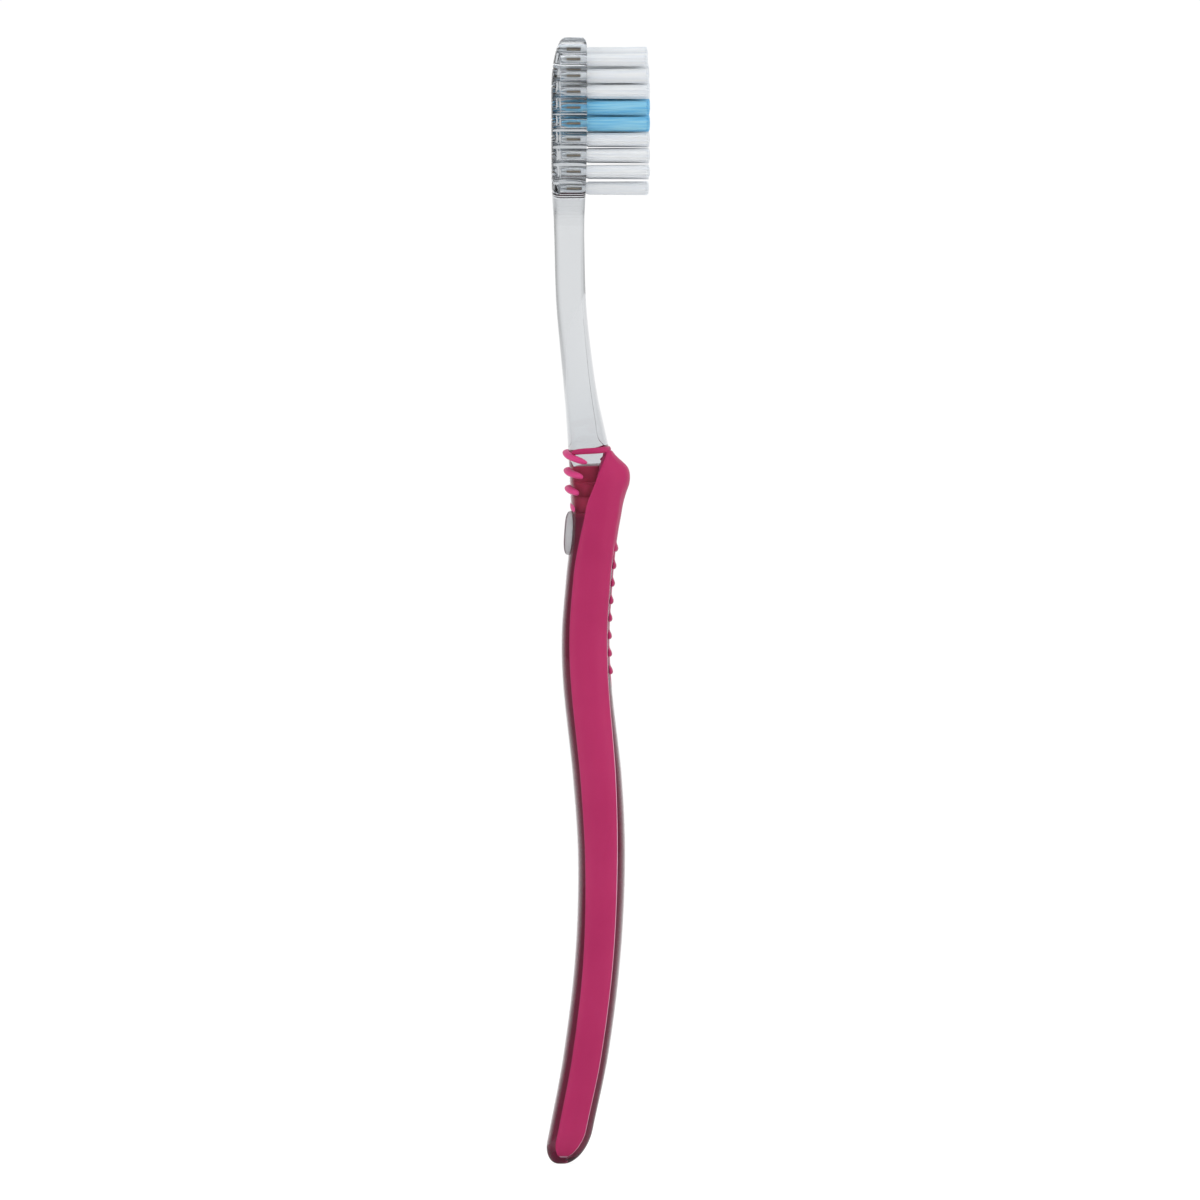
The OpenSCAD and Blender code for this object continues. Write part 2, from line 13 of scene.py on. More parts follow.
import bmesh
import bpy
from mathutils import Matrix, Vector

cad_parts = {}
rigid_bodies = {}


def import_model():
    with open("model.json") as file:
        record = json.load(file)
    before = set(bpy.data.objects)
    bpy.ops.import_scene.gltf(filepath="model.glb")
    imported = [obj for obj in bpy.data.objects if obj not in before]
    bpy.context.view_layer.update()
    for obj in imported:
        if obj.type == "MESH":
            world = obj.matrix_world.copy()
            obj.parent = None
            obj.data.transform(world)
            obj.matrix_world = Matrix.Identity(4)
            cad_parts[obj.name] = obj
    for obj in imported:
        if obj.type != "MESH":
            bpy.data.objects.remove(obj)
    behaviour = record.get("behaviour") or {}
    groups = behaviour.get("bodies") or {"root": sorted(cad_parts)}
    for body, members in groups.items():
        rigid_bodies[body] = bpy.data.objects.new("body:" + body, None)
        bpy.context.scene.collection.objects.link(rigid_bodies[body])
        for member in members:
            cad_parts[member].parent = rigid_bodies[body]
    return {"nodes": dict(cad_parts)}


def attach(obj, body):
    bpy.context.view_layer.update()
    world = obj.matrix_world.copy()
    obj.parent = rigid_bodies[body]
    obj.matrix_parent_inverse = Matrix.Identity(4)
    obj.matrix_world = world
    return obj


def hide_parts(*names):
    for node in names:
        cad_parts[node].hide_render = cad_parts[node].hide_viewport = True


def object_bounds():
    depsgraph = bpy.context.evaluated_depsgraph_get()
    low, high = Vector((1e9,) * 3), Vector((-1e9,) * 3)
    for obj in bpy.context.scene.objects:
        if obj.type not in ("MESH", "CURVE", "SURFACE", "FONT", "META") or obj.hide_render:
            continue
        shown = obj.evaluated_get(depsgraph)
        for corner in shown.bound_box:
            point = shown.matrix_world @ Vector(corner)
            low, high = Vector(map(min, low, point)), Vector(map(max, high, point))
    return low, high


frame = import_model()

MM = 0.001
cad_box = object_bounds()
print("measured box, mm:", [[round(v / MM, 2) for v in corner] for corner in cad_box])

# %% [markdown]
# ## The camera
# The photograph is taken from far away with a long lens: the rows of tufts lie one behind the
# other and nothing converges. A near camera would show the tufts from below and close the narrow
# gaps between their rows, so the camera stands 2.4 m away. Its frame is 1200 pixels wide, and the
# brush is 1126 of them long, which gives the scale.

# %% Place the camera
PHOTO_PX = 1200
BRUSH_TOP_PX = 37.5
BRUSH_HEEL_PX = 1163.5
BRUSH_AXIS_PX = 598.35
BRUSH_L = cad_box[1][2] / MM
PX = BRUSH_L / (BRUSH_HEEL_PX - BRUSH_TOP_PX)
CAMERA_FAR = 2400

camera = bpy.data.objects.new("camera", bpy.data.cameras.new("camera"))
bpy.context.scene.collection.objects.link(camera)
camera.data.sensor_width = 36
camera.data.lens = camera.data.sensor_width * CAMERA_FAR / (PHOTO_PX * PX)
camera.data.clip_end = 50
centre_x = (PHOTO_PX / 2 - BRUSH_AXIS_PX) * PX
centre_z = (BRUSH_HEEL_PX - PHOTO_PX / 2) * PX
camera.location = (centre_x * MM, -CAMERA_FAR * MM, centre_z * MM)
camera.rotation_euler = (math.radians(90), 0, 0)
bpy.context.scene.camera = camera
print("one pixel of the photograph is", round(PX, 4), "mm; lens", round(camera.data.lens), "mm")

# %% [markdown]
# ## Smooth outlines from a few sizes
# A moulded handle is drawn from a few cross-sections and a smooth curve through them. The same
# method works here: tables hold the middle line, the depth and the width at a few places, and a
# cubic curve fills in the rest. The values are those of the measured model, so the smooth skin
# lies where its faceted one does. Only the width is held level for 2 mm where the collar sits:
# between parallel walls the far side of the collar is seen through the plastic at its true height.

# %% Sizes of the clear body
HANDLE_L = 120.6
NECK_L = 42.4
HEAD_L = 27
SWAY = 9.2
HANDLE_D = 8.3
HANDLE_W = 13.4
NECK_D = 5.06
NECK_W = 5.6
HEAD_D = 6.07
HEAD_W = 11.8
HEEL_ROUND = 6
TIP_ROUND = 5.6
HEEL_BACK_REACH, HEEL_BACK_IN = 4, 2.7
HEEL_FRONT_REACH, HEEL_FRONT_IN = 5.9, 3.7
HEEL_FLAT_W = 2.4
TIP_BACK_REACH, TIP_BACK_IN = 9, 2.4
TIP_FRONT_REACH, TIP_FRONT_IN = 1.8, 1
TIP_FLAT_W = 3
BRISTLE_L = 10.7


def spread_out(start, length, shares):
    return [start + length * share for share in shares]


def scaled(size, shares):
    return [size * share for share in shares]


HEAD_START = HANDLE_L + NECK_L
PLACES = (
    spread_out(0, HANDLE_L, [0, 0.05, 0.15, 0.285, 0.42, 0.535, 0.67, 0.74, 0.82, 0.89, 0.955, 1])
    + spread_out(HANDLE_L, NECK_L, [0.21, 0.4, 0.59, 0.83, 0.92])
    + spread_out(HEAD_START, HEAD_L, [0, 0.12, 0.26, 0.5, 1])
)
MIDDLES = (
    scaled(SWAY, [0.314, 0.447, 0.707, 0.926, 1, 0.929, 0.739, 0.707, 0.779, 0.862, 0.811, 0.761])
    + scaled(SWAY, [0.627, 0.523, 0.44, 0.408, 0.402])
    + scaled(SWAY, [0.398, 0.399, 0.401, 0.403, 0.403])
)
DEPTHS = (
    scaled(HANDLE_D, [0.878, 0.881, 0.916, 0.925, 0.955, 0.996, 0.988, 0.972, 0.955, 0.935, 0.875, 0.834])
    + scaled(NECK_D, [1.117, 1.034, 1, 1, 1.03])
    + scaled(HEAD_D, [0.931, 0.97, 0.99, 1, 1])
)
WIDTH_PLACES = PLACES[:11] + spread_out(HANDLE_L, 1, [-2, -1, 1.2, 2.2]) + PLACES[12:]
WIDTHS = (
    scaled(HANDLE_W, [0.8, 0.86, 0.93, 0.98, 1, 0.99, 0.93, 0.9, 0.91, 0.94, 0.9])
    + scaled(HANDLE_W, [0.825, 0.815, 0.81, 0.795])
    + scaled(NECK_W, [1.5, 1.19, 1.03, 1, 1.12])
    + scaled(HEAD_W, [0.76, 0.93, 1, 1, 1])
)
HEAD_FULL = HEAD_START + HEAD_L * 0.25
SHAPE_PLACES = [0, HANDLE_L, HANDLE_L + NECK_L * 0.5, HEAD_START, HEAD_FULL, BRUSH_L]
SQUARES = [2.5, 2.6, 2.8, 3.4, 5, 5]
CROWNS = scaled(HEAD_D, [0, 0, 0, 0.075, 0.15, 0.15])
print(len(PLACES), "cross-sections of the clear body")

# %% [markdown]
# ## Curves through the tables
# A curve object could hold these outlines, but the rings of every piece need values at any height.
# So one function draws the cubic curve between two places of a table, and another takes away the
# rounded corners of the heel and of the head, which are quarters of ellipses.

# %% Curves through the tables


def mix(a, b, share):
    return a + (b - a) * share


def held(value, low, high):
    return min(max(value, low), high)


def along(at, values, z):
    """Smooth curve through a table of values, at a place z."""
    last = len(at) - 1
    i = 0
    while i < last - 1 and z >= at[i + 1]:
        i += 1

    def slope(k):
        a, b = max(k - 1, 0), min(k + 1, last)
        return (values[b] - values[a]) / (at[b] - at[a])

    step = at[i + 1] - at[i]
    s = held((z - at[i]) / step, 0, 1)
    start = (2 * s**3 - 3 * s**2 + 1) * values[i] + (s**3 - 2 * s**2 + s) * step * slope(i)
    end = (3 * s**2 - 2 * s**3) * values[i + 1] + (s**3 - s**2) * step * slope(i + 1)
    return start + end


def corner(distance, reach, amount):
    """Quarter of an ellipse: what a rounded corner takes away at a distance from the end."""
    if distance >= reach:
        return 0
    return amount * (1 - math.sqrt(1 - (1 - max(distance, 0) / reach) ** 2))


def back_at(z):
    heel = corner(z, HEEL_BACK_REACH, HEEL_BACK_IN)
    tip = corner(BRUSH_L - z, TIP_BACK_REACH, TIP_BACK_IN)
    return along(PLACES, MIDDLES, z) - along(PLACES, DEPTHS, z) / 2 + heel + tip


def front_at(z):
    heel = corner(z, HEEL_FRONT_REACH, HEEL_FRONT_IN)
    tip = corner(BRUSH_L - z, TIP_FRONT_REACH, TIP_FRONT_IN)
    return along(PLACES, MIDDLES, z) + along(PLACES, DEPTHS, z) / 2 - heel - tip


def half_width_at(z):
    w = along(WIDTH_PLACES, WIDTHS, z) / 2
    tip = corner(BRUSH_L - z, TIP_ROUND, w - TIP_FLAT_W / 2)
    return w - corner(z, HEEL_ROUND, w - HEEL_FLAT_W / 2) - tip


# The measured model is centred on its box, so its bristle tips give the shift between the two
BOX_MIDDLE = front_at(HEAD_FULL) + BRISTLE_L - cad_box[1][0] / MM
FACE_X = front_at(HEAD_FULL) - BOX_MIDDLE
print("bristle face at x =", round(FACE_X, 3), "mm")

# %% [markdown]
# ## Points on the skin
# A cross-section is a superellipse: an exponent of 2 gives an ellipse, and 5 gives the boxy head.
# A point on it is named by an angle, from 0 at the middle of the back to 180 at the middle of the
# front. The edges of the grips are angles too, so everything that follows the skin can be made
# with one function that lifts a point off it or sinks it in.

# %% Cross-sections and points on them


class Section:
    """Cross-section of the clear body at a height."""

    def __init__(self, z):
        back, front = back_at(z) - BOX_MIDDLE, front_at(z) - BOX_MIDDLE
        self.middle, self.half_depth = (back + front) / 2, (front - back) / 2
        self.half_width = half_width_at(z)
        self.square = along(SHAPE_PLACES, SQUARES, z)
        self.crown = along(SHAPE_PLACES, CROWNS, z)
        self.front = front

    def skin(self, t):
        c, s = math.cos(math.radians(t)), math.sin(math.radians(t))
        reach = abs(c) ** (2 / self.square)
        x = self.middle - self.half_depth * reach
        if t >= 90:
            x = min(self.middle + (self.half_depth + self.crown) * reach, self.front)
        return x, self.half_width * max(s, 0) ** (2 / self.square)

    def forward(self, t):
        """How far forward a point lies: -1 at the middle of the back and 1 at the middle of the front."""
        c = math.cos(math.radians(t))
        return -math.copysign(abs(c) ** (2 / self.square), c)

    def outward(self, t):
        c, s = math.cos(math.radians(t)), max(math.sin(math.radians(t)), 0)
        k = 2 - 2 / self.square
        nx = -math.copysign(abs(c) ** k, c) / self.half_depth
        ny = s**k / self.half_width
        size = math.hypot(nx, ny)
        return nx / size, ny / size

    def lifted(self, t, h):
        (x, y), (nx, ny) = self.skin(t), self.outward(t)
        return x + h * nx, y + h * ny

    def angle_of_share(self, share):
        c = 1 - 2 * share
        return math.degrees(math.acos(math.copysign(abs(c) ** (self.square / 2), c)))

    def angle_of_width(self, y):
        share = held(y / self.half_width, 0, 1)
        return 180 - math.degrees(math.asin(share ** (self.square / 2)))

    def angle_for(self, t, size):
        """Angle that spans a small length of skin."""
        m = held(t, 1, 179)
        (x0, y0), (x1, y1) = self.skin(m - 1), self.skin(m + 1)
        return 2 * size / math.hypot(x1 - x0, y1 - y0)


print("widest section:", round(2 * Section(HANDLE_L * 0.42).half_width, 2), "mm")

# %% [markdown]
# ## Meshes from rings
# Nearly every piece here is a tube of changing section, so one function joins a stack of rings
# into a closed mesh. Edges that turn sharply are marked, and the rest are shaded smooth, which is
# how a polished mould looks.

# %% Functions that make meshes
SHARP_ANGLE = 38


def both_sides(half):
    """Closed ring from the half on the +Y side, whose two end points lie on the middle plane."""
    return half + [(x, -y, z) for x, y, z in reversed(half[1:-1])]


def ring_mesh(rings):
    """Vertices and faces of a closed solid through a stack of rings with equal numbers of points."""
    n = len(rings[0])
    points = [p for ring in rings for p in ring]
    faces = []
    for i in range(len(rings) - 1):
        for j in range(n):
            a, b = i * n + j, i * n + (j + 1) % n
            faces.append((a, a + n, b + n, b))
    faces.append(tuple(range(n)))
    faces.append(tuple(reversed(range(len(points) - n, len(points)))))
    return points, faces


def solid_mesh(name, points, faces):
    """Mesh with outward faces, from points in millimetres."""
    mesh = bpy.data.meshes.new(name)
    mesh.from_pydata([(x * MM, y * MM, z * MM) for x, y, z in points], [], faces)
    bm = bmesh.new()
    bm.from_mesh(mesh)
    bmesh.ops.recalc_face_normals(bm, faces=bm.faces)
    bm.to_mesh(mesh)
    bm.free()
    return mesh


def smooth_by_angle(mesh, sharp):
    """Smooth shading with the edges that turn by more than an angle kept sharp."""
    for polygon in mesh.polygons:
        polygon.use_smooth = True
    mesh.set_sharp_from_angle(angle=math.radians(sharp))


def make_piece(name, points, faces, replaced, sharp=SHARP_ANGLE):
    """Object that rides on the brush and takes the place of one measured node."""
    mesh = solid_mesh(name, points, faces)
    smooth_by_angle(mesh, sharp)
    piece = bpy.data.objects.new(name, mesh)
    bpy.context.scene.collection.objects.link(piece)
    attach(piece, "root")
    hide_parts(replaced)
    print(name, len(mesh.polygons), "faces")
    return piece


cube_corners = [(x, y, z) for z in (0, 1) for x, y in ((0, 0), (1, 0), (1, 1), (0, 1))]
print("a stack of two square rings has", len(ring_mesh([cube_corners[:4], cube_corners[4:]])[1]), "faces")

# %% [markdown]
# ## Where the soft grips lie
# The soft grips are moulded into recesses of the clear body. The two side grips run up the handle
# and lean forward to a point under the collar. The thumb rest starts as a narrow pad with cross
# ribs, joins the side grips higher up and swells into a shoulder that stops the thumb.

# %% Edges of the grips
GRIP_DEPTH = 1.1
GRIP_PROUD = 0.3
GRIP_CLEAR = 0.04
GRIP_START = 1.4
GRIP_END = HANDLE_L - 0.35
GRIP_WALL = 0.18
WALL_MOST_SHARE = 0.2
GRIP_AT = (
    spread_out(0, HANDLE_L, [0, 0.25, 0.45, 0.7, 0.83, 0.872, 0.906, 0.923, 0.956, 0.975, 0.991, 1])
    + spread_out(HANDLE_L, NECK_L, [0.04, 0.12, 0.25, 0.6, 1.6])
)
GRIP_BACK_SHARES = [0.215, 0.2, 0.155, 0.17, 0.165, 0.205, 0.3, 0.37]
GRIP_BACK_SHARES += [0.62, 0.765, 0.89, 0.9, 0.68, 0.45, 0.3, 0.27, 0.25]
GRIP_FRONT_SHARES = [0.84, 0.84, 0.84, 0.942, 0.945, 0.95, 0.955, 0.955]
GRIP_FRONT_SHARES += [0.955, 0.955, 0.955, 0.955, 0.785, 0.795, 0.82, 0.87, 0.85]
GRIP_BACK_END_REACH, GRIP_BACK_END_SHARE = 2.8, 0.13
GRIP_FRONT_END_REACH, GRIP_FRONT_END_SHARE = 4.2, 0.2

COLLAR_W = 1
THUMB_START = HANDLE_L - 40.4
THUMB_END = HANDLE_L - 0.3
THUMB_ROUND = 4
THUMB_ROUND_IN_SHARE = 0.85
THUMB_SEAM = 0.9
MERGE_L = 3
SHOULDER_H = 2.7
SHOULDER_L = 16.5
SHOULDER_FOOT = HANDLE_L + COLLAR_W / 2 - SHOULDER_L
SHOULDER_AT = scaled(SHOULDER_L, [0, 0.16, 0.29, 0.41, 0.52, 0.62, 0.725, 0.795, 0.9, 1])
SHOULDER_OUT_SHARES = [0, 0.1, 0.26, 0.44, 0.68, 0.93, 1, 0.88, 0.34, 0]


def grip_back(section, z):
    end = corner(z - GRIP_START, GRIP_BACK_END_REACH, GRIP_BACK_END_SHARE)
    return section.angle_of_share(along(GRIP_AT, GRIP_BACK_SHARES, z) + end)


def grip_front(section, z):
    end = corner(z - GRIP_START, GRIP_FRONT_END_REACH, GRIP_FRONT_END_SHARE)
    return section.angle_of_share(along(GRIP_AT, GRIP_FRONT_SHARES, z) - end)


def merge(z):
    """0 where the thumb rest stands alone and 1 where it meets the side grips."""
    return held((z - SHOULDER_FOOT) / MERGE_L + 1, 0, 1)


def seam_front(section, z):
    w = section.skin(grip_front(section, z))[1] - THUMB_SEAM * (1 - merge(z))
    return section.angle_of_width(w - corner(z - THUMB_START, THUMB_ROUND, w * THUMB_ROUND_IN_SHARE))


def shoulder_at(z):
    return SHOULDER_H * along(SHOULDER_AT, SHOULDER_OUT_SHARES, z - SHOULDER_FOOT)


def grip_skin(section, t, h, z):
    """Outer skin of a soft grip: proud of the clear body, and drawn forward at the shoulder.

    The draw begins at the back edge of the grip, so that this edge stays on the clear skin.
    """
    x, y = section.lifted(t, h)
    start = max(section.forward(grip_back(section, z)), 0)
    return x + shoulder_at(z) * max(section.forward(t) - start, 0) / (1 - start), y, z


print("thumb rest from", round(THUMB_START, 1), "to", round(THUMB_END, 1), "mm")

# %% [markdown]
# ## The clear body
# On the real brush this is one moulding of clear copolyester. It could be carved from a block with
# cuts for each recess, but a stack of rings that already dip where the soft grips lie keeps the
# mesh clean, and clean facets matter in clear plastic, because every flaw in them bends the light.
# A fine parting crease runs up each side of the neck from the collar, and the rings dip there too.
# The soft grips are moulded onto it and bond with it, so each recess is a hair tighter than what
# fills it: no layer of air lies between the two, and the grip's colour shows through the plastic.

# %% Rings of the clear body
BOND = 0.02
BACK_N = 22
GRIP_N = 12
SEAM_N = 4
FRONT_N = 10
RING_STEP = 0.5
CREASE_DEEP = 0.08
CREASE_L = 36
BESIDE_SEAM_SHARE = 0.3


def sunk(z, start, end):
    return GRIP_DEPTH - GRIP_CLEAR - BOND if start < z < end else 0


def crease(z):
    """Depth of the fine parting crease on each side of the neck, which fades towards the head."""
    up = (z - HANDLE_L) / CREASE_L
    return CREASE_DEEP * (1 - up) if 0 < up < 1 else 0


def body_ring(z):
    s = Section(z)
    t0, t1, t2 = grip_back(s, z), grip_front(s, z), seam_front(s, z)
    tight0, tight1, tight2 = s.angle_for(t0, BOND), s.angle_for(t1, BOND), s.angle_for(t2, BOND)
    w0 = min(s.angle_for(t0, GRIP_WALL), (t1 - t0) * WALL_MOST_SHARE)
    w1 = min(s.angle_for(t1, GRIP_WALL), (t1 - t0) * WALL_MOST_SHARE)
    w2 = min(s.angle_for(t2, GRIP_WALL), (180 - t2) * WALL_MOST_SHARE)
    thumb, grip = sunk(z, THUMB_START, THUMB_END), sunk(z, GRIP_START, GRIP_END)
    half = [s.lifted(mix(180, t2 + w2 + tight2, i / FRONT_N), -thumb) for i in range(FRONT_N + 1)]
    beside = t1 + min(w1, (t2 - t1) * BESIDE_SEAM_SHARE)
    half += [s.lifted(mix(t2 + tight2, beside, i / SEAM_N), -thumb * merge(z)) for i in range(SEAM_N + 1)]
    half.append(s.lifted(t1, -thumb * merge(z) - crease(z)))
    for i in range(GRIP_N + 1):
        half.append(s.lifted(mix(t1 - w1 - tight1, t0 + w0 + tight0, i / GRIP_N), -grip))
    for i in range(BACK_N + 1):
        half.append(s.skin((t0 + tight0) * (1 - i / BACK_N)))
    return both_sides([(x, y, z) for x, y in half])


print("a ring of the clear body has", len(body_ring(HANDLE_L)), "points")

# %% [markdown]
# ## Heights of the rings
# Even steps would miss the ends of the recesses and the crests of the ribs. So the heights crowd
# together at the rounded ends, and others fall exactly on every edge. The grips later reuse the
# heights of the body's rings, so that edges that touch have the same facets.

# %% Choose the heights
END_N = 24
SOFT_END = 1.5
SOFT_END_N = 14
THUMB_RIBS = 8
THUMB_RIB_PITCH = 2.95
THUMB_RIB_W = 1.1
THUMB_RIB_RUN = 1.3
THUMB_FIRST_RIB = THUMB_START + 2.9
RIB_EDGE_N = 6
RIB_RUN_N = 5
NEAR_SHARE = 0.1


def eased(start, length, n):
    """Heights that crowd together towards the end of a rounded piece."""
    return [start + length * (1 - math.cos(math.pi / 2 * i / n)) for i in range(n + 1)]


def heights(start, end, step, extra=()):
    """Even heights from start to end, with extra ones where an edge has to fall exactly."""
    n = max(round((end - start) / step), 1)
    even = [mix(start, end, i / n) for i in range(n + 1)]
    inside = sorted(z for z in extra if start < z < end)
    kept = [z for z in even if all(abs(z - e) > step * NEAR_SHARE for e in inside)]
    return sorted(set(kept + inside))


recess_ends = [GRIP_START, GRIP_END, THUMB_START, THUMB_END]
recess_ends = [z + shift for shift in (-BOND, 0, BOND) for z in recess_ends]
round_ends = eased(0, HEEL_ROUND, END_N) + [BRUSH_L - z for z in eased(0, TIP_ROUND, END_N)]
round_ends += eased(GRIP_START, SOFT_END * 2, SOFT_END_N)
rib_places = [THUMB_FIRST_RIB + k * THUMB_RIB_PITCH for k in range(THUMB_RIBS)]
rib_heights = []
for rib_place in rib_places:
    for i in range(RIB_EDGE_N + 1):
        rib_heights.append(rib_place - THUMB_RIB_W / 2 * math.sin(math.pi / 2 * i / RIB_EDGE_N))
    rib_heights += [rib_place + THUMB_RIB_RUN * i / RIB_RUN_N for i in range(1, RIB_RUN_N + 1)]
body_heights = heights(0, BRUSH_L, RING_STEP, recess_ends + round_ends + rib_heights)


def between(start, end):
    """The heights of the body's rings from start to end: pieces that share them share their facets."""
    return [z for z in body_heights if start <= z <= end]


body_points, body_faces = ring_mesh([body_ring(z) for z in body_heights])
print("clear body:", len(body_heights), "rings,", len(body_faces), "faces")

# %% [markdown]
# ## The core
# Through the clear rim of the handle the elastomer shows on every side, down to the heel, and it
# starts under the collar with a level edge and three steps, one for each finger rib. So the clear
# body is a shell, and the elastomer that is forced into it fills it with a core. The core is a
# slimmer copy of the handle's own sections, and its steps are cut into its sides.

# %% Make the core
CORE_WALL = 1.5
CORE_START = 1.9
CORE_TOP = HANDLE_L - 3.05
CORE_STEP_L = 2.6
CORE_STEPS = 3
CORE_STEP_IN = 1.1
STEP_RUN = 0.02
CORE_HEEL_REACH, CORE_HEEL_IN = 6.5, 2.4
CORE_END_REACH, CORE_END_IN = 3, 1.6
CORE_END_N = 14
CORE_TOP_REACH, CORE_TOP_IN = 0.25, 0.2
CORE_TOP_N = 5
CORE_N = 40


def core_step(z):
    """How far a side of the core is cut in: nothing at the top of a step, and most at its foot."""
    down = CORE_TOP - z
    if down >= CORE_STEPS * CORE_STEP_L:
        return 0
    return CORE_STEP_IN * (down / CORE_STEP_L % 1)


def core_ring(z, tighter=0):
    s = Section(z)
    end = corner(z - CORE_START, CORE_END_REACH, CORE_END_IN)
    end += corner(CORE_TOP - z, CORE_TOP_REACH, CORE_TOP_IN)
    wall = CORE_WALL + tighter + end
    back = s.middle - s.half_depth + wall + corner(z - CORE_START, CORE_HEEL_REACH, CORE_HEEL_IN)
    front = s.middle + s.half_depth - wall
    half_width = s.half_width - wall - core_step(z)
    half = []
    for i in range(CORE_N + 1):
        c, side = math.cos(math.pi * i / CORE_N), max(math.sin(math.pi * i / CORE_N), 0)
        x = (back + front) / 2 + (front - back) / 2 * math.copysign(abs(c) ** (2 / s.square), c)
        half.append((x, half_width * side ** (2 / s.square), z))
    return both_sides(half)


step_edges = [CORE_TOP - k * CORE_STEP_L for k in range(1, CORE_STEPS + 1)]
step_edges += [z + STEP_RUN for z in step_edges]
core_ends = eased(CORE_START, CORE_END_REACH, CORE_END_N) + eased(CORE_TOP, -CORE_TOP_REACH, CORE_TOP_N)
core_heights = heights(CORE_START, CORE_TOP, RING_STEP, step_edges + core_ends)
core_points, core_faces = ring_mesh([core_ring(z) for z in core_heights])
core = make_piece("elastomer_core", core_points, core_faces, "grip_core")
cavity = ring_mesh([core_ring(z, BOND) for z in core_heights])

# %% [markdown]
# ## The dome
# A low pad with steep sides stands on the back of the handle under the finger ribs. Light passes
# straight through its sides, so it looks paler than the handle, and that needs clean sides: it is
# made as a closed form of its own and joined to the body with a boolean.

# %% Make the dome
DOME_L = 7.4
DOME_W = 6.4
DOME_H = 1.1
DOME_Z = HANDLE_L - 14.2
DOME_SQUARE = 8
DOME_END = 2.6
DOME_FOOT = 0.9
DOME_N = 32
DOME_RINGS = 20
DOME_LAST = 0.998


def dome_ring(share):
    """Ring of the dome at a share of its half length above or below its middle."""
    z = DOME_Z + share * DOME_L / 2
    low = (1 - abs(share) ** DOME_END) ** (1 / DOME_END)
    back = Section(z).skin(0)[0]
    ring = []
    for i in range(DOME_N + 1):
        a = math.pi * (i / DOME_N - 0.5)
        y = DOME_W / 2 * math.copysign(abs(math.sin(a)) ** (2 / DOME_SQUARE), a) * low ** 0.5
        ring.append((back - DOME_H * low * abs(math.cos(a)) ** (2 / DOME_SQUARE), y, z))
    return ring + [(back + DOME_FOOT, y, z) for x, y, z in reversed(ring)]


dome_turns = [math.pi / 2 * i / DOME_RINGS for i in range(-DOME_RINGS, DOME_RINGS + 1)]
dome_shares = [math.sin(turn) * DOME_LAST for turn in dome_turns]
dome_points, dome_faces = ring_mesh([dome_ring(share) for share in dome_shares])
print("dome:", len(dome_faces), "faces")

# %% [markdown]
# ## Tuft holes
# The head has a blind hole for every tuft. The rows are bowed: near the tip the middle tufts stand
# ahead of the outer ones, and the last row is straight. Seen from the side, the inner tufts then
# fill the gaps between the outer ones, except at the last rows. Cutting the holes out of the clear
# body with a boolean gives real cylinders, whose walls catch the light through the plastic.

# %% Cut the tuft holes
HOLE_D = 1.9
HOLE_DEPTH = 4.3
HOLE_SIDES = 32
ROW_COUNTS = [4, 4, 4, 4, 4, 4, 4, 4, 3]
BLUE_ROWS = [3, 4]
FIRST_ROW = 3.95
LAST_ROW = 1.6
ROW_BOW = 1.35
ROW_PITCH = (HEAD_L - FIRST_ROW - LAST_ROW) / (len(ROW_COUNTS) - 1)
OUTER_IN = 2.15
COLUMN_PITCH = (HEAD_W - 2 * OUTER_IN) / (max(ROW_COUNTS) - 1)
OUTER_Y = COLUMN_PITCH * ((max(ROW_COUNTS) - 1) / 2)
CUT_OVER = 0.4


def tuft_places():
    """(row, column, y, z) of every tuft, from the tip of the head down."""
    last = len(ROW_COUNTS) - 1
    for row, count in enumerate(ROW_COUNTS):
        for column in range(count):
            y = COLUMN_PITCH * (column - (count - 1) / 2)
            bow = ROW_BOW * (1 - row / last) * (1 - (y / OUTER_Y) ** 2)
            yield row, column, y, BRUSH_L - FIRST_ROW - row * ROW_PITCH + bow


def disc(x, y, z, radius, sides):
    """Ring of points round a line along X."""
    turns = [2 * math.pi * (i + 0.5) / sides for i in range(sides)]
    return [(x, y + radius * math.cos(a), z + radius * math.sin(a)) for a in turns]


clear_body = make_piece("clear_body", body_points, body_faces, "handle_body")
cut_points, cut_faces = cavity
for row, column, y, z in tuft_places():
    rings = [disc(x, y, z, HOLE_D / 2, HOLE_SIDES) for x in (FACE_X - HOLE_DEPTH, FACE_X + CUT_OVER)]
    points, faces = ring_mesh(rings)
    cut_faces += [tuple(i + len(cut_points) for i in face) for face in faces]
    cut_points += points


def carve(piece, points, faces, operation):
    """Join a closed form to a piece, or cut it away, with an exact boolean."""
    mesh = solid_mesh(piece.name + "_tool", points, faces)
    tool = bpy.data.objects.new(mesh.name, mesh)
    bpy.context.scene.collection.objects.link(tool)
    step = piece.modifiers.new(mesh.name, "BOOLEAN")
    step.object = tool
    step.operation = operation
    step.solver = "EXACT"
    evaluated = piece.evaluated_get(bpy.context.evaluated_depsgraph_get())
    carved = bpy.data.meshes.new_from_object(evaluated)
    piece.modifiers.clear()
    piece.data = carved
    smooth_by_angle(carved, SHARP_ANGLE)
    bpy.data.objects.remove(tool)


carve(clear_body, dome_points, dome_faces, "UNION")
carve(clear_body, cut_points, cut_faces, "DIFFERENCE")
print("carved body:", len(clear_body.data.polygons), "faces,", sum(ROW_COUNTS), "holes")

# %% [markdown]
# ## The side grips
# Each side grip is a crowned strip of soft elastomer with rounded edges. It could be a curve with
# a profile, but a ring for each height that follows the body's own skin keeps it seated in its
# recess all the way. The crown rises quickly from the edge and is nearly flat in the middle.

# %% Make the side grips
STRIP_N = 26
CROWN_POWER = 7


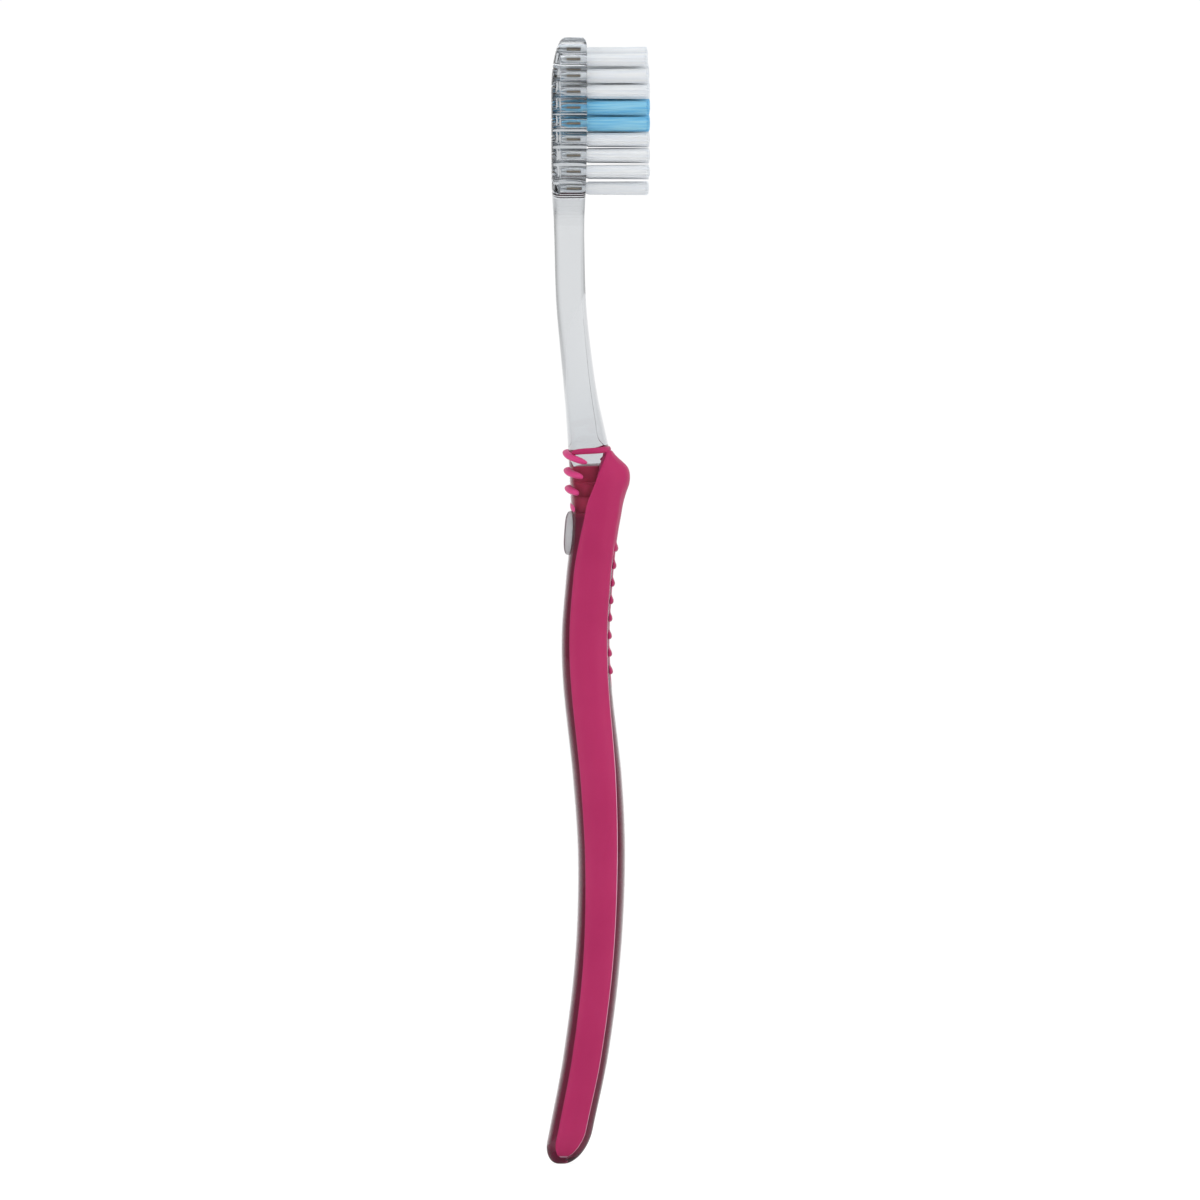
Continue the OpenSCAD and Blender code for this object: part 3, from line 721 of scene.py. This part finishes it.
def crown_share(share):
    """Height of the crown across a strip, from 0 at both edges to 1 in its middle."""
    return math.sqrt(max(1 - abs(2 * share - 1) ** CROWN_POWER, 0))


def rise_at(z):
    """How much of the shoulder stands out at a height, from 0 to 1."""
    return shoulder_at(z) / SHOULDER_H


def grip_ring(z):
    s = Section(z)
    t0, t1 = grip_back(s, z), grip_front(s, z)
    w0 = min(s.angle_for(t0, GRIP_WALL), (t1 - t0) * WALL_MOST_SHARE)
    w1 = min(s.angle_for(t1, GRIP_WALL), (t1 - t0) * WALL_MOST_SHARE)
    proud = GRIP_PROUD * (1 - corner(z - GRIP_START, SOFT_END, 1))
    ring = []
    for i in range(STRIP_N + 1):
        share = (1 - math.cos(math.pi * i / STRIP_N)) / 2
        front_side = rise_at(z) if share < 0.5 else 0
        ring.append(grip_skin(s, mix(t1, t0, share), proud * max(crown_share(share), front_side), z))
    for i in range(GRIP_N, -1, -1):
        x, y = s.lifted(mix(t1 - w1, t0 + w0, i / GRIP_N), GRIP_CLEAR - GRIP_DEPTH)
        ring.append((x, y, z))
    return ring


strip_points, strip_faces = ring_mesh([grip_ring(z) for z in between(GRIP_START, GRIP_END)])
soft_pieces = []
for side, mirror in (("left", 1), ("right", -1)):
    points = [(x, y * mirror, z) for x, y, z in strip_points]
    node_name = f"side_grip_{side}"
    soft_pieces.append(make_piece(node_name + "_skin", points, strip_faces, node_name))

# %% [markdown]
# ## The thumb rest
# The thumb rest carries eight low cross ribs for grip below its shoulder. Each rises gently from
# above and ends abruptly below, so that the thumb slides up easily and is held on the way down.
# They are part of the same soft moulding, so they are raised in the rings themselves, and fade out
# before the edge of the pad so that their ends are round.

# %% Make the thumb rest
THUMB_RIB_H = 0.42
THUMB_RIB_END_POWER = 6
PAD_N = 22


def thumb_rib_at(z, share):
    up = min([z - place for place in rib_places], key=abs)
    if up < -THUMB_RIB_W / 2 or up > THUMB_RIB_RUN:
        return 0
    above = (1 + math.cos(math.pi * up / THUMB_RIB_RUN)) / 2
    rise = above if up >= 0 else math.sqrt(max(1 - (2 * up / THUMB_RIB_W) ** 2, 0))
    return THUMB_RIB_H * rise * math.sqrt(max(1 - share**THUMB_RIB_END_POWER, 0))


def thumb_ring(z):
    s = Section(z)
    t1, t2 = grip_front(s, z), seam_front(s, z)
    edge = mix(t2, t1, merge(z))
    foot = edge + min(s.angle_for(edge, GRIP_WALL), (180 - edge) * WALL_MOST_SHARE)
    half = []
    for i in range(PAD_N + 1):
        share = math.sin(math.pi / 2 * i / PAD_N)
        h = GRIP_PROUD * rise_at(z) + thumb_rib_at(z, share)
        half.append(grip_skin(s, mix(180, edge, share), h, z))
    for i in range(FRONT_N, -1, -1):
        x, y = s.lifted(mix(180, foot, i / FRONT_N), GRIP_CLEAR - GRIP_DEPTH)
        half.append((x, y, z))
    return both_sides(half)


thumb_points, thumb_faces = ring_mesh([thumb_ring(z) for z in between(THUMB_START, THUMB_END)])
soft_pieces.append(make_piece("thumb_rest_skin", thumb_points, thumb_faces, "thumb_rest"))

# %% [markdown]
# ## Finger ribs and the collar band
# Three rods of elastomer lie across the back like chevrons, with a low fourth one under them, and
# a thin band rings the front at the top of the handle. Each is a bead: a half-round section that
# follows the skin and draws in to a round end.

# %% Make the beads
BEAD_N = 16
BEAD_STATIONS = 44
BEAD_LAST = 0.999
BEAD_END_POWER = 9
FINGER_RIB_PITCH = 3
FINGER_RIB_W = 1.2
FINGER_RIB_H = 1
FINGER_FIRST = HANDLE_L - 0.65
FINGER_REACH_SHARES = [0.44, 0.32, 0.2, 0.09]
FINGER_DROP_SHARES = [0.58, 0.39, 0.3, 0.2]
FINGER_HEIGHT_SHARES = [1, 1, 0.95, 0.15]
COLLAR_H = 0.35
COLLAR_DROP = 0.7
COLLAR_REACH_SHARE = 0.08


def bead(name, replaced, ends, middle_z, drop, thick, rise):
    rings = []
    for i in range(BEAD_STATIONS + 1):
        share = math.sin(math.pi * (i / BEAD_STATIONS - 0.5)) * BEAD_LAST
        taper = math.sqrt(1 - abs(share) ** BEAD_END_POWER)
        t = mix(*ends, abs(share))
        ring = []
        for q in range(BEAD_N + 1):
            turn = math.pi * q / BEAD_N
            z = middle_z - drop * abs(share) - math.cos(turn) * taper * thick / 2
            x, y = Section(z).lifted(t, rise * taper * math.sin(turn) - BOND)
            ring.append((x, math.copysign(y, share), z))
        rings.append(ring)
    points, faces = ring_mesh(rings)
    return make_piece(name, points, faces, replaced)


beads = []
for k in range(len(FINGER_REACH_SHARES)):
    z = FINGER_FIRST - k * FINGER_RIB_PITCH
    end_t = Section(z).angle_of_share(FINGER_REACH_SHARES[k])
    drop = FINGER_RIB_PITCH * FINGER_DROP_SHARES[k]
    rise = FINGER_RIB_H * FINGER_HEIGHT_SHARES[k]
    node_name = f"finger_rib_{k + 1}"
    beads.append(bead(node_name + "_rod", node_name, (0, end_t), z, drop, FINGER_RIB_W, rise))
collar_ends = (180, Section(HANDLE_L).angle_of_share(COLLAR_REACH_SHARE))
collar = bead("collar_band", "grip_collar", collar_ends, HANDLE_L, COLLAR_DROP, COLLAR_W, COLLAR_H)
soft_pieces.append(collar)

# %% [markdown]
# ## The bristles
# A tuft is a bundle of nylon filaments, folded in half round its anchor and driven into its hole.
# A particle system could scatter hairs, but each tuft has to start in a round hole, pass its
# anchor on both sides and spread a little towards a trimmed, rounded end, so the filaments are
# laid out one by one. They are 0.2 mm thick, like real ones, which is one pixel of the picture.
# Hundreds of filaments are packed in the middle of a tuft, where none can be told from the next,
# so a solid heart stands for those and the separate ones surround it and stick out past its end.

# %% Shape a filament and a heart
FILAMENT_D = 0.2
FILAMENT_SIDES = 5
ROOT_R = 0.85
FAN_R = 1.01
FAN_SHARE = 0.03
TIP_R = 1.06
HEART_SHARE = 0.98
HEART_ROOT_R = 0.93
HEART_BELOW = 0.45
HEART_ROUND = 0.3
FOOT_GAP = 0.12
ANCHOR_BELOW = 1.15
ANCHOR_L = 2.2
ANCHOR_T = 0.3
ANCHOR_GAP = 0.1
BESIDE_GAP_SHARE = 0.7
BESIDE_SHARE = 0.6


def filament_rings(y, z, unit, tip, reach, spread):
    """Rings of one filament: in its hole beside the anchor, up through the mouth, and out."""
    root = (ROOT_R * unit[0], ROOT_R * unit[1])
    fan = (FAN_R * spread * unit[0], FAN_R * spread * unit[1])
    side = 1 if root[1] >= 0 else -1
    beside = side * (ANCHOR_T / 2 + FILAMENT_D * BESIDE_GAP_SHARE + abs(root[1]) * BESIDE_SHARE)
    radius = FILAMENT_D / 2
    stations = [
        (-HOLE_DEPTH + FOOT_GAP, root[0] * 0.9, beside * 0.6, radius * 0.8),
        (-ANCHOR_BELOW - ANCHOR_L + ANCHOR_GAP, root[0] * 0.95, beside, radius),
        (-ANCHOR_BELOW + ANCHOR_GAP, root[0], beside, radius),
        (0, root[0], root[1], radius),
        (reach * FAN_SHARE, fan[0], fan[1], radius),
        (reach * 0.55, mix(fan[0], tip[0], 0.45), mix(fan[1], tip[1], 0.45), radius),
        (reach - radius * 0.8, tip[0], tip[1], radius),
        (reach - radius * 0.2, tip[0], tip[1], radius * 0.75),
        (reach, tip[0], tip[1], radius * 0.3),
    ]
    return [disc(FACE_X + x, y + across, z + up, r, FILAMENT_SIDES) for x, across, up, r in stations]


def heart_mesh(y, z, reach, spread):
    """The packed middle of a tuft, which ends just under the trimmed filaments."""
    reach -= HEART_BELOW
    fan_r, tip_r = FAN_R * spread, TIP_R * spread
    stations = [
        (-ANCHOR_BELOW + ANCHOR_GAP, HEART_ROOT_R),
        (0, HEART_ROOT_R),
        (reach * FAN_SHARE, fan_r),
        (reach * 0.5, mix(fan_r, tip_r, 0.5)),
        (reach - HEART_ROUND, tip_r),
        (reach - HEART_ROUND / 3, tip_r * 0.9),
        (reach, tip_r * 0.5),
    ]
    return ring_mesh([disc(FACE_X + x, y, z, r * HEART_SHARE, HOLE_SIDES) for x, r in stations])


print("a filament has", len(filament_rings(0, 0, (1, 0), (1, 0), BRISTLE_L, 1)), "rings")

# %% [markdown]
# ## The tufts
# The filaments of a tuft are set out on a spiral that turns by the golden angle, which fills a
# circle evenly. Small random strays keep their tips and their trim from looking drawn, and a fixed
# seed gives the same brush every time. Rows 2 to 5 open a little wider, until they nearly touch,
# and the end rows are trimmed a little shorter, as on the real brush.

# %% Make the tufts
FILAMENTS = 72
ROW_SPREADS = {1: 1.15, 2: 1.15, 3: 1.16, 4: 1.16}
END_ROW_TRIMS = {0: 0.35, 1: 0.1, 8: 0.15}
STRAY = 0.025
TRIM_DOME = 0.2
TRIM_STRAY = 0.05
TUFT_SHARP = 60
GOLDEN_TURN = math.pi * (3 - math.sqrt(5))
draw = random.Random(7)


def tuft_mesh(row, y, z):
    spread = ROW_SPREADS.get(row, 1)
    trimmed = BRISTLE_L - END_ROW_TRIMS.get(row, 0)
    points, faces = heart_mesh(y, z, trimmed, spread)
    turn = draw.uniform(0, 2 * math.pi)
    for i in range(FILAMENTS):
        out = math.sqrt((i + 0.5) / FILAMENTS)
        angle = turn + i * GOLDEN_TURN
        unit = (out * math.cos(angle), out * math.sin(angle))
        tip = tuple(TIP_R * spread * u + draw.gauss(0, STRAY) for u in unit)
        reach = trimmed - TRIM_DOME * out**2 - abs(draw.gauss(0, TRIM_STRAY))
        p, f = ring_mesh(filament_rings(y, z, unit, tip, reach, spread))
        faces += [tuple(j + len(points) for j in face) for face in f]
        points += p
    return points, faces


tufts = {"white": [], "blue": []}
for row, column, y, z in tuft_places():
    node_name = f"tuft_{row + 1}{'abcd'[column]}"
    colour = "blue" if row in BLUE_ROWS else "white"
    points, faces = tuft_mesh(row, y, z)
    tuft = make_piece(node_name + "_filaments", points, faces, node_name, TUFT_SHARP)
    tufts[colour].append(tuft)
print({colour: len(pieces) for colour, pieces in tufts.items()}, "tufts of", FILAMENTS, "filaments")

# %% [markdown]
# ## Colours and nodes
# Colours are written as sRGB hex values, the way a paint chart gives them, and one function turns
# them into the linear numbers that light needs. Another adds a node to a material, with its
# settings and its links, so that each material below reads as a short list.

# %% Helpers for materials


def linear(hex_colour):
    """sRGB hex colour as linear RGBA."""
    values = [int(hex_colour[i:i + 2], 16) / 255 for i in (1, 3, 5)]
    return [v / 12.92 if v <= 0.04045 else ((v + 0.055) / 1.055) ** 2.4 for v in values] + [1]


def new_material(name):
    material = bpy.data.materials.new(name)
    material.use_nodes = True
    material.node_tree.nodes.clear()
    return material, material.node_tree


def add(tree, kind, settings=None, links=None):
    """Add a node. Settings name its properties or inputs, and links join an input to an output."""
    node = tree.nodes.new(kind)
    for key, value in (settings or {}).items():
        if isinstance(key, str) and hasattr(node, key):
            setattr(node, key, value)
        else:
            node.inputs[key].default_value = value
    for key, output in (links or {}).items():
        tree.links.new(output, node.inputs[key])
    return node


def per_metre(size_mm):
    """Scale of a pattern whose features are this many millimetres apart."""
    return 1 / (size_mm * MM)


print("white is", linear("#FFFFFF"))

# %% [markdown]
# ## Clear copolyester
# The body is moulded in clear copolyester with a slight smoke tint. The mould is polished, so the
# surface is glossy, and a long slow waviness from shrinkage bends what is seen through it. The
# tint is not in the surface but in the depth of the plastic: the thin neck is pale and the wide
# head is darker, which is what an absorbing volume gives. The dome is etched in the mould, which
# makes it an even pale grey: the same plastic with a rough surface. Lamps have to light what lies
# inside the plastic, so it lets the rays that look for a lamp pass straight through. Its IOR is
# 1.57, the usual value for copolyester.

# %% Material of the clear body
SMOKE_PER_MM = 0.03
SHRINK_WAVE = 9
DOME_FROST = 0.6
POLISH = 0.03
ABOVE_SKIN = 1.002
SMOKE = "#E6E8EA"
LIT_THROUGH = "#F4F5F6"
density = SMOKE_PER_MM / MM / (1 - linear(SMOKE)[1])


def copolyester(name, roughness):
    material, tree = new_material(name)
    place = add(tree, "ShaderNodeTexCoord")
    wave = add(tree, "ShaderNodeTexNoise", {"Scale": per_metre(SHRINK_WAVE), "Detail": 1.5},
               {"Vector": place.outputs["Object"]})
    bump = add(tree, "ShaderNodeBump", {"Strength": 0.35, "Distance": 0.12 * MM},
               {"Height": wave.outputs["Fac"]})
    shader = add(tree, "ShaderNodeBsdfPrincipled",
                 {"Base Color": linear("#FAFBFC"), "Roughness": roughness, "IOR": 1.57,
                  "Transmission Weight": 1},
                 {"Normal": bump.outputs["Normal"]})
    path = add(tree, "ShaderNodeLightPath")
    lit_through = add(tree, "ShaderNodeBsdfTransparent", {"Color": linear(LIT_THROUGH)})
    both = add(tree, "ShaderNodeMixShader", None,
               {0: path.outputs["Is Shadow Ray"], 1: shader.outputs[0], 2: lit_through.outputs[0]})
    smoke = add(tree, "ShaderNodeVolumeAbsorption", {"Color": linear(SMOKE), "Density": density})
    add(tree, "ShaderNodeOutputMaterial", None,
        {"Surface": both.outputs["Shader"], "Volume": smoke.outputs["Volume"]})
    return material


def on_the_dome(point):
    """Whether a point of the body's surface, in metres, lies on the dome."""
    x, y, z = (v / MM for v in point)
    s = Section(held(z, 0, BRUSH_L))
    out = abs((x - s.middle) / s.half_depth) ** s.square + abs(y / s.half_width) ** s.square
    return abs(z - DOME_Z) < DOME_L / 2 and x < s.middle and out > ABOVE_SKIN


clear_body.data.materials.clear()
clear_body.data.materials.append(copolyester("clear_copolyester", POLISH))
clear_body.data.materials.append(copolyester("frosted_copolyester", DOME_FROST))
for polygon in clear_body.data.polygons:
    polygon.material_index = 1 if on_the_dome(polygon.center) else 0
print("smoke density", round(density, 1), "per metre")

# %% [markdown]
# ## Thermoplastic elastomer
# The grips are a soft elastomer, moulded against a finely etched tool. It looks satin: the gloss
# is broad and weak, colour comes from just under the skin, and edges catch a pale sheen. The etched
# grain is about 0.12 mm, drawn at 0.25 mm so that it shows. The thin rods are painted a lighter
# magenta: painted light, for the light that they let through. Along the front edge of a side grip,
# where the strip thins out over the clear plastic, its outermost faces get a paler material: a painted
# highlight. The core is the same elastomer deep inside, painted a darker maroon as painted shade, and
# painted lighter towards its steps, where light comes in from above, so its colour changes with height.

# %% Material of the soft grips
ETCH_GRAIN = 0.25
CLOUD = 14
HIGHLIGHT_EDGE_FACES = 4
CORE_PAINTED_LIGHT_FADE = 3
RAMP_FROM, RAMP_TO = 0.35, 0.65


def rubber(name, dark, light, gloss, rise=None):
    """Elastomer whose colour drifts in slow clouds, or, as painted light and shade, with the height
    between two heights.
    """
    material, tree = new_material(name)
    place = add(tree, "ShaderNodeTexCoord")
    grain = add(tree, "ShaderNodeTexNoise", {"Scale": per_metre(ETCH_GRAIN), "Detail": 3},
                {"Vector": place.outputs["Object"]})
    if rise:
        parts = add(tree, "ShaderNodeSeparateXYZ", None, {"Vector": place.outputs["Object"]})
        change = add(tree, "ShaderNodeMapRange", {"From Min": rise[0] * MM, "From Max": rise[1] * MM},
                     {"Value": parts.outputs["Z"]})
    else:
        change = add(tree, "ShaderNodeTexNoise", {"Scale": per_metre(CLOUD), "Detail": 2},
                     {"Vector": place.outputs["Object"]})
    tint = add(tree, "ShaderNodeValToRGB", None, {"Fac": change.outputs[0]})
    tint.color_ramp.elements[0].position = RAMP_FROM
    tint.color_ramp.elements[0].color = linear(dark)
    tint.color_ramp.elements[1].position = RAMP_TO
    tint.color_ramp.elements[1].color = linear(light)
    bump = add(tree, "ShaderNodeBump", {"Strength": 0.25, "Distance": 0.02 * MM},
               {"Height": grain.outputs["Fac"]})
    shader = add(tree, "ShaderNodeBsdfPrincipled",
                 {"Roughness": 0.45, "IOR": 1.49, "Specular IOR Level": gloss,
                  "Subsurface Weight": 0.08, "Subsurface Radius": (1.2 * MM, 0.3 * MM, 0.4 * MM),
                  "Subsurface Scale": 1},
                 {"Base Color": tint.outputs["Color"], "Normal": bump.outputs["Normal"]})
    add(tree, "ShaderNodeOutputMaterial", None, {"Surface": shader.outputs["BSDF"]})
    return material


elastomer = rubber("magenta_elastomer", "#AE245D", "#B42A62", 0.3)
for piece in soft_pieces:
    piece.data.materials.append(elastomer)
# The outermost faces along the front edge of each side grip get a paler material: a painted highlight
painted_highlight_elastomer = rubber("magenta_elastomer_painted_highlight", "#DE9CB6", "#E4A8C0", 0.3)
ring_points = len(grip_ring(HANDLE_L / 2))
for piece in soft_pieces[:2]:
    piece.data.materials.append(painted_highlight_elastomer)
    for polygon in piece.data.polygons:
        in_painted_highlight = polygon.index % ring_points < HIGHLIGHT_EDGE_FACES
        polygon.material_index = int(in_painted_highlight and rise_at(polygon.center.z / MM) == 0)
# The rods get a lighter copy of the grips' magenta: painted light, for the light they let through
painted_light_bead_elastomer = rubber("magenta_elastomer_painted_light", "#CC3C7A", "#D44684", 0.3)
for piece in beads:
    piece.data.materials.append(painted_light_bead_elastomer)
# The core's darker maroon is painted shade, and its lighter colour towards the steps is painted light
steps_end = CORE_TOP - CORE_STEPS * CORE_STEP_L
fade = (steps_end - CORE_PAINTED_LIGHT_FADE, steps_end + CORE_PAINTED_LIGHT_FADE)
core.data.materials.append(rubber("core_elastomer_painted_shade_and_light", "#7C2040", "#B43656", 0.1, fade))
print("elastomers:", [m.name for m in bpy.data.materials if "elastomer" in m.name])

# %% [markdown]
# ## Nylon filaments
# Bristles are drawn nylon, polished by the drawing, and they scatter light along their length. The
# white ones are natural nylon with a trace of whitener, and the blue ones are dyed through. Each
# filament is a little lighter or darker than the next, so a noise stretched along the bristles,
# twice as coarse as a filament so that it shows, varies the colour. Nylon is translucent: a part
# of the light goes on through it.

# %% Materials of the bristles
LIGHT_THROUGH = 0.27


def nylon(name, dark, light):
    material, tree = new_material(name)
    place = add(tree, "ShaderNodeTexCoord")
    stretch = add(tree, "ShaderNodeMapping", {"Scale": (0.05, 1, 1)}, {"Vector": place.outputs["Object"]})
    streak = add(tree, "ShaderNodeTexNoise", {"Scale": per_metre(FILAMENT_D * 2), "Detail": 1},
                 {"Vector": stretch.outputs["Vector"]})
    tone = add(tree, "ShaderNodeValToRGB", None, {"Fac": streak.outputs["Fac"]})
    tone.color_ramp.elements[0].position = RAMP_FROM
    tone.color_ramp.elements[0].color = linear(dark)
    tone.color_ramp.elements[1].position = RAMP_TO
    tone.color_ramp.elements[1].color = linear(light)
    shader = add(tree, "ShaderNodeBsdfPrincipled",
                 {"Roughness": 0.35, "IOR": 1.53, "Specular IOR Level": 0.4},
                 {"Base Color": tone.outputs["Color"]})
    through = add(tree, "ShaderNodeBsdfTranslucent", None, {"Color": tone.outputs["Color"]})
    both = add(tree, "ShaderNodeMixShader", {0: LIGHT_THROUGH},
               {1: shader.outputs["BSDF"], 2: through.outputs["BSDF"]})
    add(tree, "ShaderNodeOutputMaterial", None, {"Surface": both.outputs["Shader"]})
    return material


nylons = {
    "white": nylon("natural_white_nylon", "#F5F9FE", "#FCFEFF"),
    "blue": nylon("dyed_blue_nylon", "#7CCDF4", "#A6E4FB"),
}
for colour, pieces in tufts.items():
    for tuft in pieces:
        tuft.data.materials.append(nylons[colour])
print("nylons:", [material.name for material in nylons.values()])

# %% [markdown]
# ## Nickel silver wire
# The anchors are snipped from flat nickel silver wire. They keep their measured shape, and need
# only a metal with fine drawing lines along the wire, 0.1 mm apart.

# %% Material of the anchors
DRAWN_LINES = 0.1
wire, tree = new_material("drawn_nickel_silver")
place = add(tree, "ShaderNodeTexCoord")
stretch = add(tree, "ShaderNodeMapping", {"Scale": (0.1, 1, 1)}, {"Vector": place.outputs["Object"]})
lines = add(tree, "ShaderNodeTexNoise", {"Scale": per_metre(DRAWN_LINES), "Detail": 2},
            {"Vector": stretch.outputs["Vector"]})
rough = add(tree, "ShaderNodeMapRange", {"To Min": 0.25, "To Max": 0.5}, {"Value": lines.outputs["Fac"]})
metal = add(tree, "ShaderNodeBsdfPrincipled", {"Base Color": linear("#857B6C"), "Metallic": 1},
            {"Roughness": rough.outputs["Result"]})
add(tree, "ShaderNodeOutputMaterial", None, {"Surface": metal.outputs["BSDF"]})
anchors = frame["nodes"]["tuft_anchors"]
for slot_of_anchor in anchors.material_slots:
    slot_of_anchor.material = wire
print(len(anchors.material_slots), "material slot on the anchors")

# %% [markdown]
# ## The floor
# The picture is on pure white. A floor that is white only to the camera, and to rays that glass
# and gloss send out, gives that background without flooding the brush with light, and it still
# takes the shadow of the brush. Clear plastic is drawn by what stands round it. In the picture the
# studio is dark on the camera's side, so what the gloss mirrors dims that way, on the floor too.

# %% Make the floor
FLOOR_HALF = 4
FLOOR_SEEN = 1.12
FLOOR_THROUGH = 1.02
MIRRORED = {"From Min": 0.5, "From Max": 1, "To Min": 0.12, "To Max": 1}
SHADOW_SHARE = 0.2
WHITE = linear("#FFFFFF")
floor_mesh = bpy.data.meshes.new("floor")
floor_corners = [(-FLOOR_HALF, -FLOOR_HALF, 0), (FLOOR_HALF, -FLOOR_HALF, 0),
                 (FLOOR_HALF, FLOOR_HALF, 0), (-FLOOR_HALF, FLOOR_HALF, 0)]
floor_mesh.from_pydata(floor_corners, [], [(0, 1, 2, 3)])
floor = bpy.data.objects.new("floor", floor_mesh)
bpy.context.scene.collection.objects.link(floor)

pale, tree = new_material("white_studio_floor")
path = add(tree, "ShaderNodeLightPath")
by_camera_or_gloss = add(tree, "ShaderNodeMath", {"operation": "MAXIMUM"},
                         {0: path.outputs["Is Camera Ray"], 1: path.outputs["Is Glossy Ray"]})
directly = add(tree, "ShaderNodeMath", {"operation": "MAXIMUM"},
               {0: by_camera_or_gloss.outputs[0], 1: path.outputs["Is Transmission Ray"]})
share = add(tree, "ShaderNodeMath", {"operation": "MULTIPLY", 1: 1 - SHADOW_SHARE},
            {0: directly.outputs[0]})
# A mirrored ray is dimmed by the side of the brush on which it meets the floor
spot = add(tree, "ShaderNodeTexCoord")
below = add(tree, "ShaderNodeVectorMath", {"operation": "ADD", 1: (0, 0, BRUSH_L / 2 * MM)},
            {0: spot.outputs["Object"]})
way = add(tree, "ShaderNodeVectorMath", {"operation": "NORMALIZE"}, {0: below.outputs[0]})
parts = add(tree, "ShaderNodeSeparateXYZ", None, {"Vector": way.outputs[0]})
near = add(tree, "ShaderNodeMapRange", MIRRORED, {"Value": parts.outputs["Y"]})
# Rays that pass through the plastic count as glossy too, so only the others are mirrored
mirror = add(tree, "ShaderNodeMath", {"operation": "SUBTRACT", "use_clamp": True},
             {0: path.outputs["Is Glossy Ray"], 1: path.outputs["Is Transmission Ray"]})
direct = add(tree, "ShaderNodeMath",
             {"operation": "MULTIPLY_ADD", 1: FLOOR_THROUGH - FLOOR_SEEN, 2: FLOOR_SEEN},
             {0: path.outputs["Is Transmission Ray"]})
level = add(tree, "ShaderNodeMapRange", None,
            {"Value": mirror.outputs[0], "To Min": direct.outputs[0], "To Max": near.outputs["Result"]})
matte = add(tree, "ShaderNodeBsdfDiffuse", {"Color": linear("#F4F4F4")})
glow = add(tree, "ShaderNodeEmission", {"Color": WHITE}, {"Strength": level.outputs["Result"]})
both = add(tree, "ShaderNodeMixShader", None,
           {0: share.outputs[0], 1: matte.outputs["BSDF"], 2: glow.outputs["Emission"]})
add(tree, "ShaderNodeOutputMaterial", None, {"Surface": both.outputs["Shader"]})
floor.data.materials.append(pale)
print("floor:", 2 * FLOOR_HALF, "m square,", len(tree.nodes), "nodes")

# %% [markdown]
# ## The world
# The world is white to the camera and gives a plain soft light. What the gloss mirrors dims
# towards the camera's side. Grey flags stand between the four main directions: rays bent far aside
# by the plastic meet them, and they draw its edges. A photographer does the same with grey card.

# %% Make the world
WORLD_LIGHT = 0.6
WORLD_SEEN = 1.02
WORLD_THROUGH = 0.92
FLAGS = [(18, 1), (28, 0.92), (45, 0.71), (60, 0.47), (70, 0.29), (77, 0.2), (86, 0.8)]
world = bpy.data.worlds.new("white_studio")
bpy.context.scene.world = world
world.use_nodes = True
tree = world.node_tree
tree.nodes.clear()
path = add(tree, "ShaderNodeLightPath")
way = add(tree, "ShaderNodeTexCoord")
parts = add(tree, "ShaderNodeSeparateXYZ", None, {"Vector": way.outputs["Generated"]})

light = add(tree, "ShaderNodeBackground", {"Color": WHITE, "Strength": WORLD_LIGHT})
seen = add(tree, "ShaderNodeBackground", {"Color": WHITE, "Strength": WORLD_SEEN})
plain = add(tree, "ShaderNodeMixShader", None,
            {0: path.outputs["Is Camera Ray"], 1: light.outputs[0], 2: seen.outputs[0]})

near = add(tree, "ShaderNodeMapRange", MIRRORED, {"Value": parts.outputs["Y"]})
dim = add(tree, "ShaderNodeBackground", {"Color": WHITE}, {"Strength": near.outputs["Result"]})
mirrored = add(tree, "ShaderNodeMixShader", None,
               {0: path.outputs["Is Glossy Ray"], 1: plain.outputs[0], 2: dim.outputs[0]})

across = add(tree, "ShaderNodeMath", {"operation": "ABSOLUTE"}, {0: parts.outputs["X"]})
ahead = add(tree, "ShaderNodeMath", {"operation": "ABSOLUTE"}, {0: parts.outputs["Y"]})
turn = add(tree, "ShaderNodeMath", {"operation": "ARCTAN2"}, {0: across.outputs[0], 1: ahead.outputs[0]})
quarter = add(tree, "ShaderNodeMath", {"operation": "DIVIDE", 1: math.pi / 2}, {0: turn.outputs[0]})
flags = add(tree, "ShaderNodeValToRGB", None, {"Fac": quarter.outputs[0]})
ramp = flags.color_ramp.elements
for degrees, grey in FLAGS:
    stop = ramp.new(degrees / 90)
    stop.color = (grey, grey, grey, 1)
ramp.remove(ramp[0])
ramp.remove(ramp[len(ramp) - 1])
through = add(tree, "ShaderNodeBackground", {"Strength": WORLD_THROUGH}, {"Color": flags.outputs["Color"]})
# This mix comes last, because rays that pass through the plastic count as glossy too
both = add(tree, "ShaderNodeMixShader", None,
           {0: path.outputs["Is Transmission Ray"], 1: mirrored.outputs[0], 2: through.outputs[0]})
add(tree, "ShaderNodeOutputWorld", None, {"Surface": both.outputs["Shader"]})
print("world:", len(FLAGS), "greys in each quarter turn,", len(tree.nodes), "nodes")

# %% [markdown]
# ## The lamps
# Three soft boxes 1.8 m wide model the brush: one on each side, a little towards the camera, and a
# weaker one above. Their level is plain, so that a colour comes out about as it is written. The
# gloss doesn't mirror them, because the picture shows no bright patches.

# %% Soft boxes
BOX_W = 1.8
SIDE_POWER = 22
TOP_POWER = 16


def soft_box(name, place, power):
    lamp = bpy.data.lights.new(name, "AREA")
    lamp.size = BOX_W
    lamp.energy = power
    box = bpy.data.objects.new(name, lamp)
    bpy.context.scene.collection.objects.link(box)
    box.location = place
    aim = Vector((0, 0, BRUSH_L / 2 * MM)) - Vector(place)
    box.rotation_euler = aim.to_track_quat("-Z", "Y").to_euler()
    box.visible_glossy = False
    print(name, "at", round(aim.length, 2), "m, with", power, "W")


soft_box("left_box", (-2.1, -0.9, 0.6), SIDE_POWER)
soft_box("right_box", (2.1, -0.9, 0.6), SIDE_POWER)
soft_box("top_box", (0.5, -0.4, 2.2), TOP_POWER)
bpy.context.scene.view_settings.view_transform = "Standard"
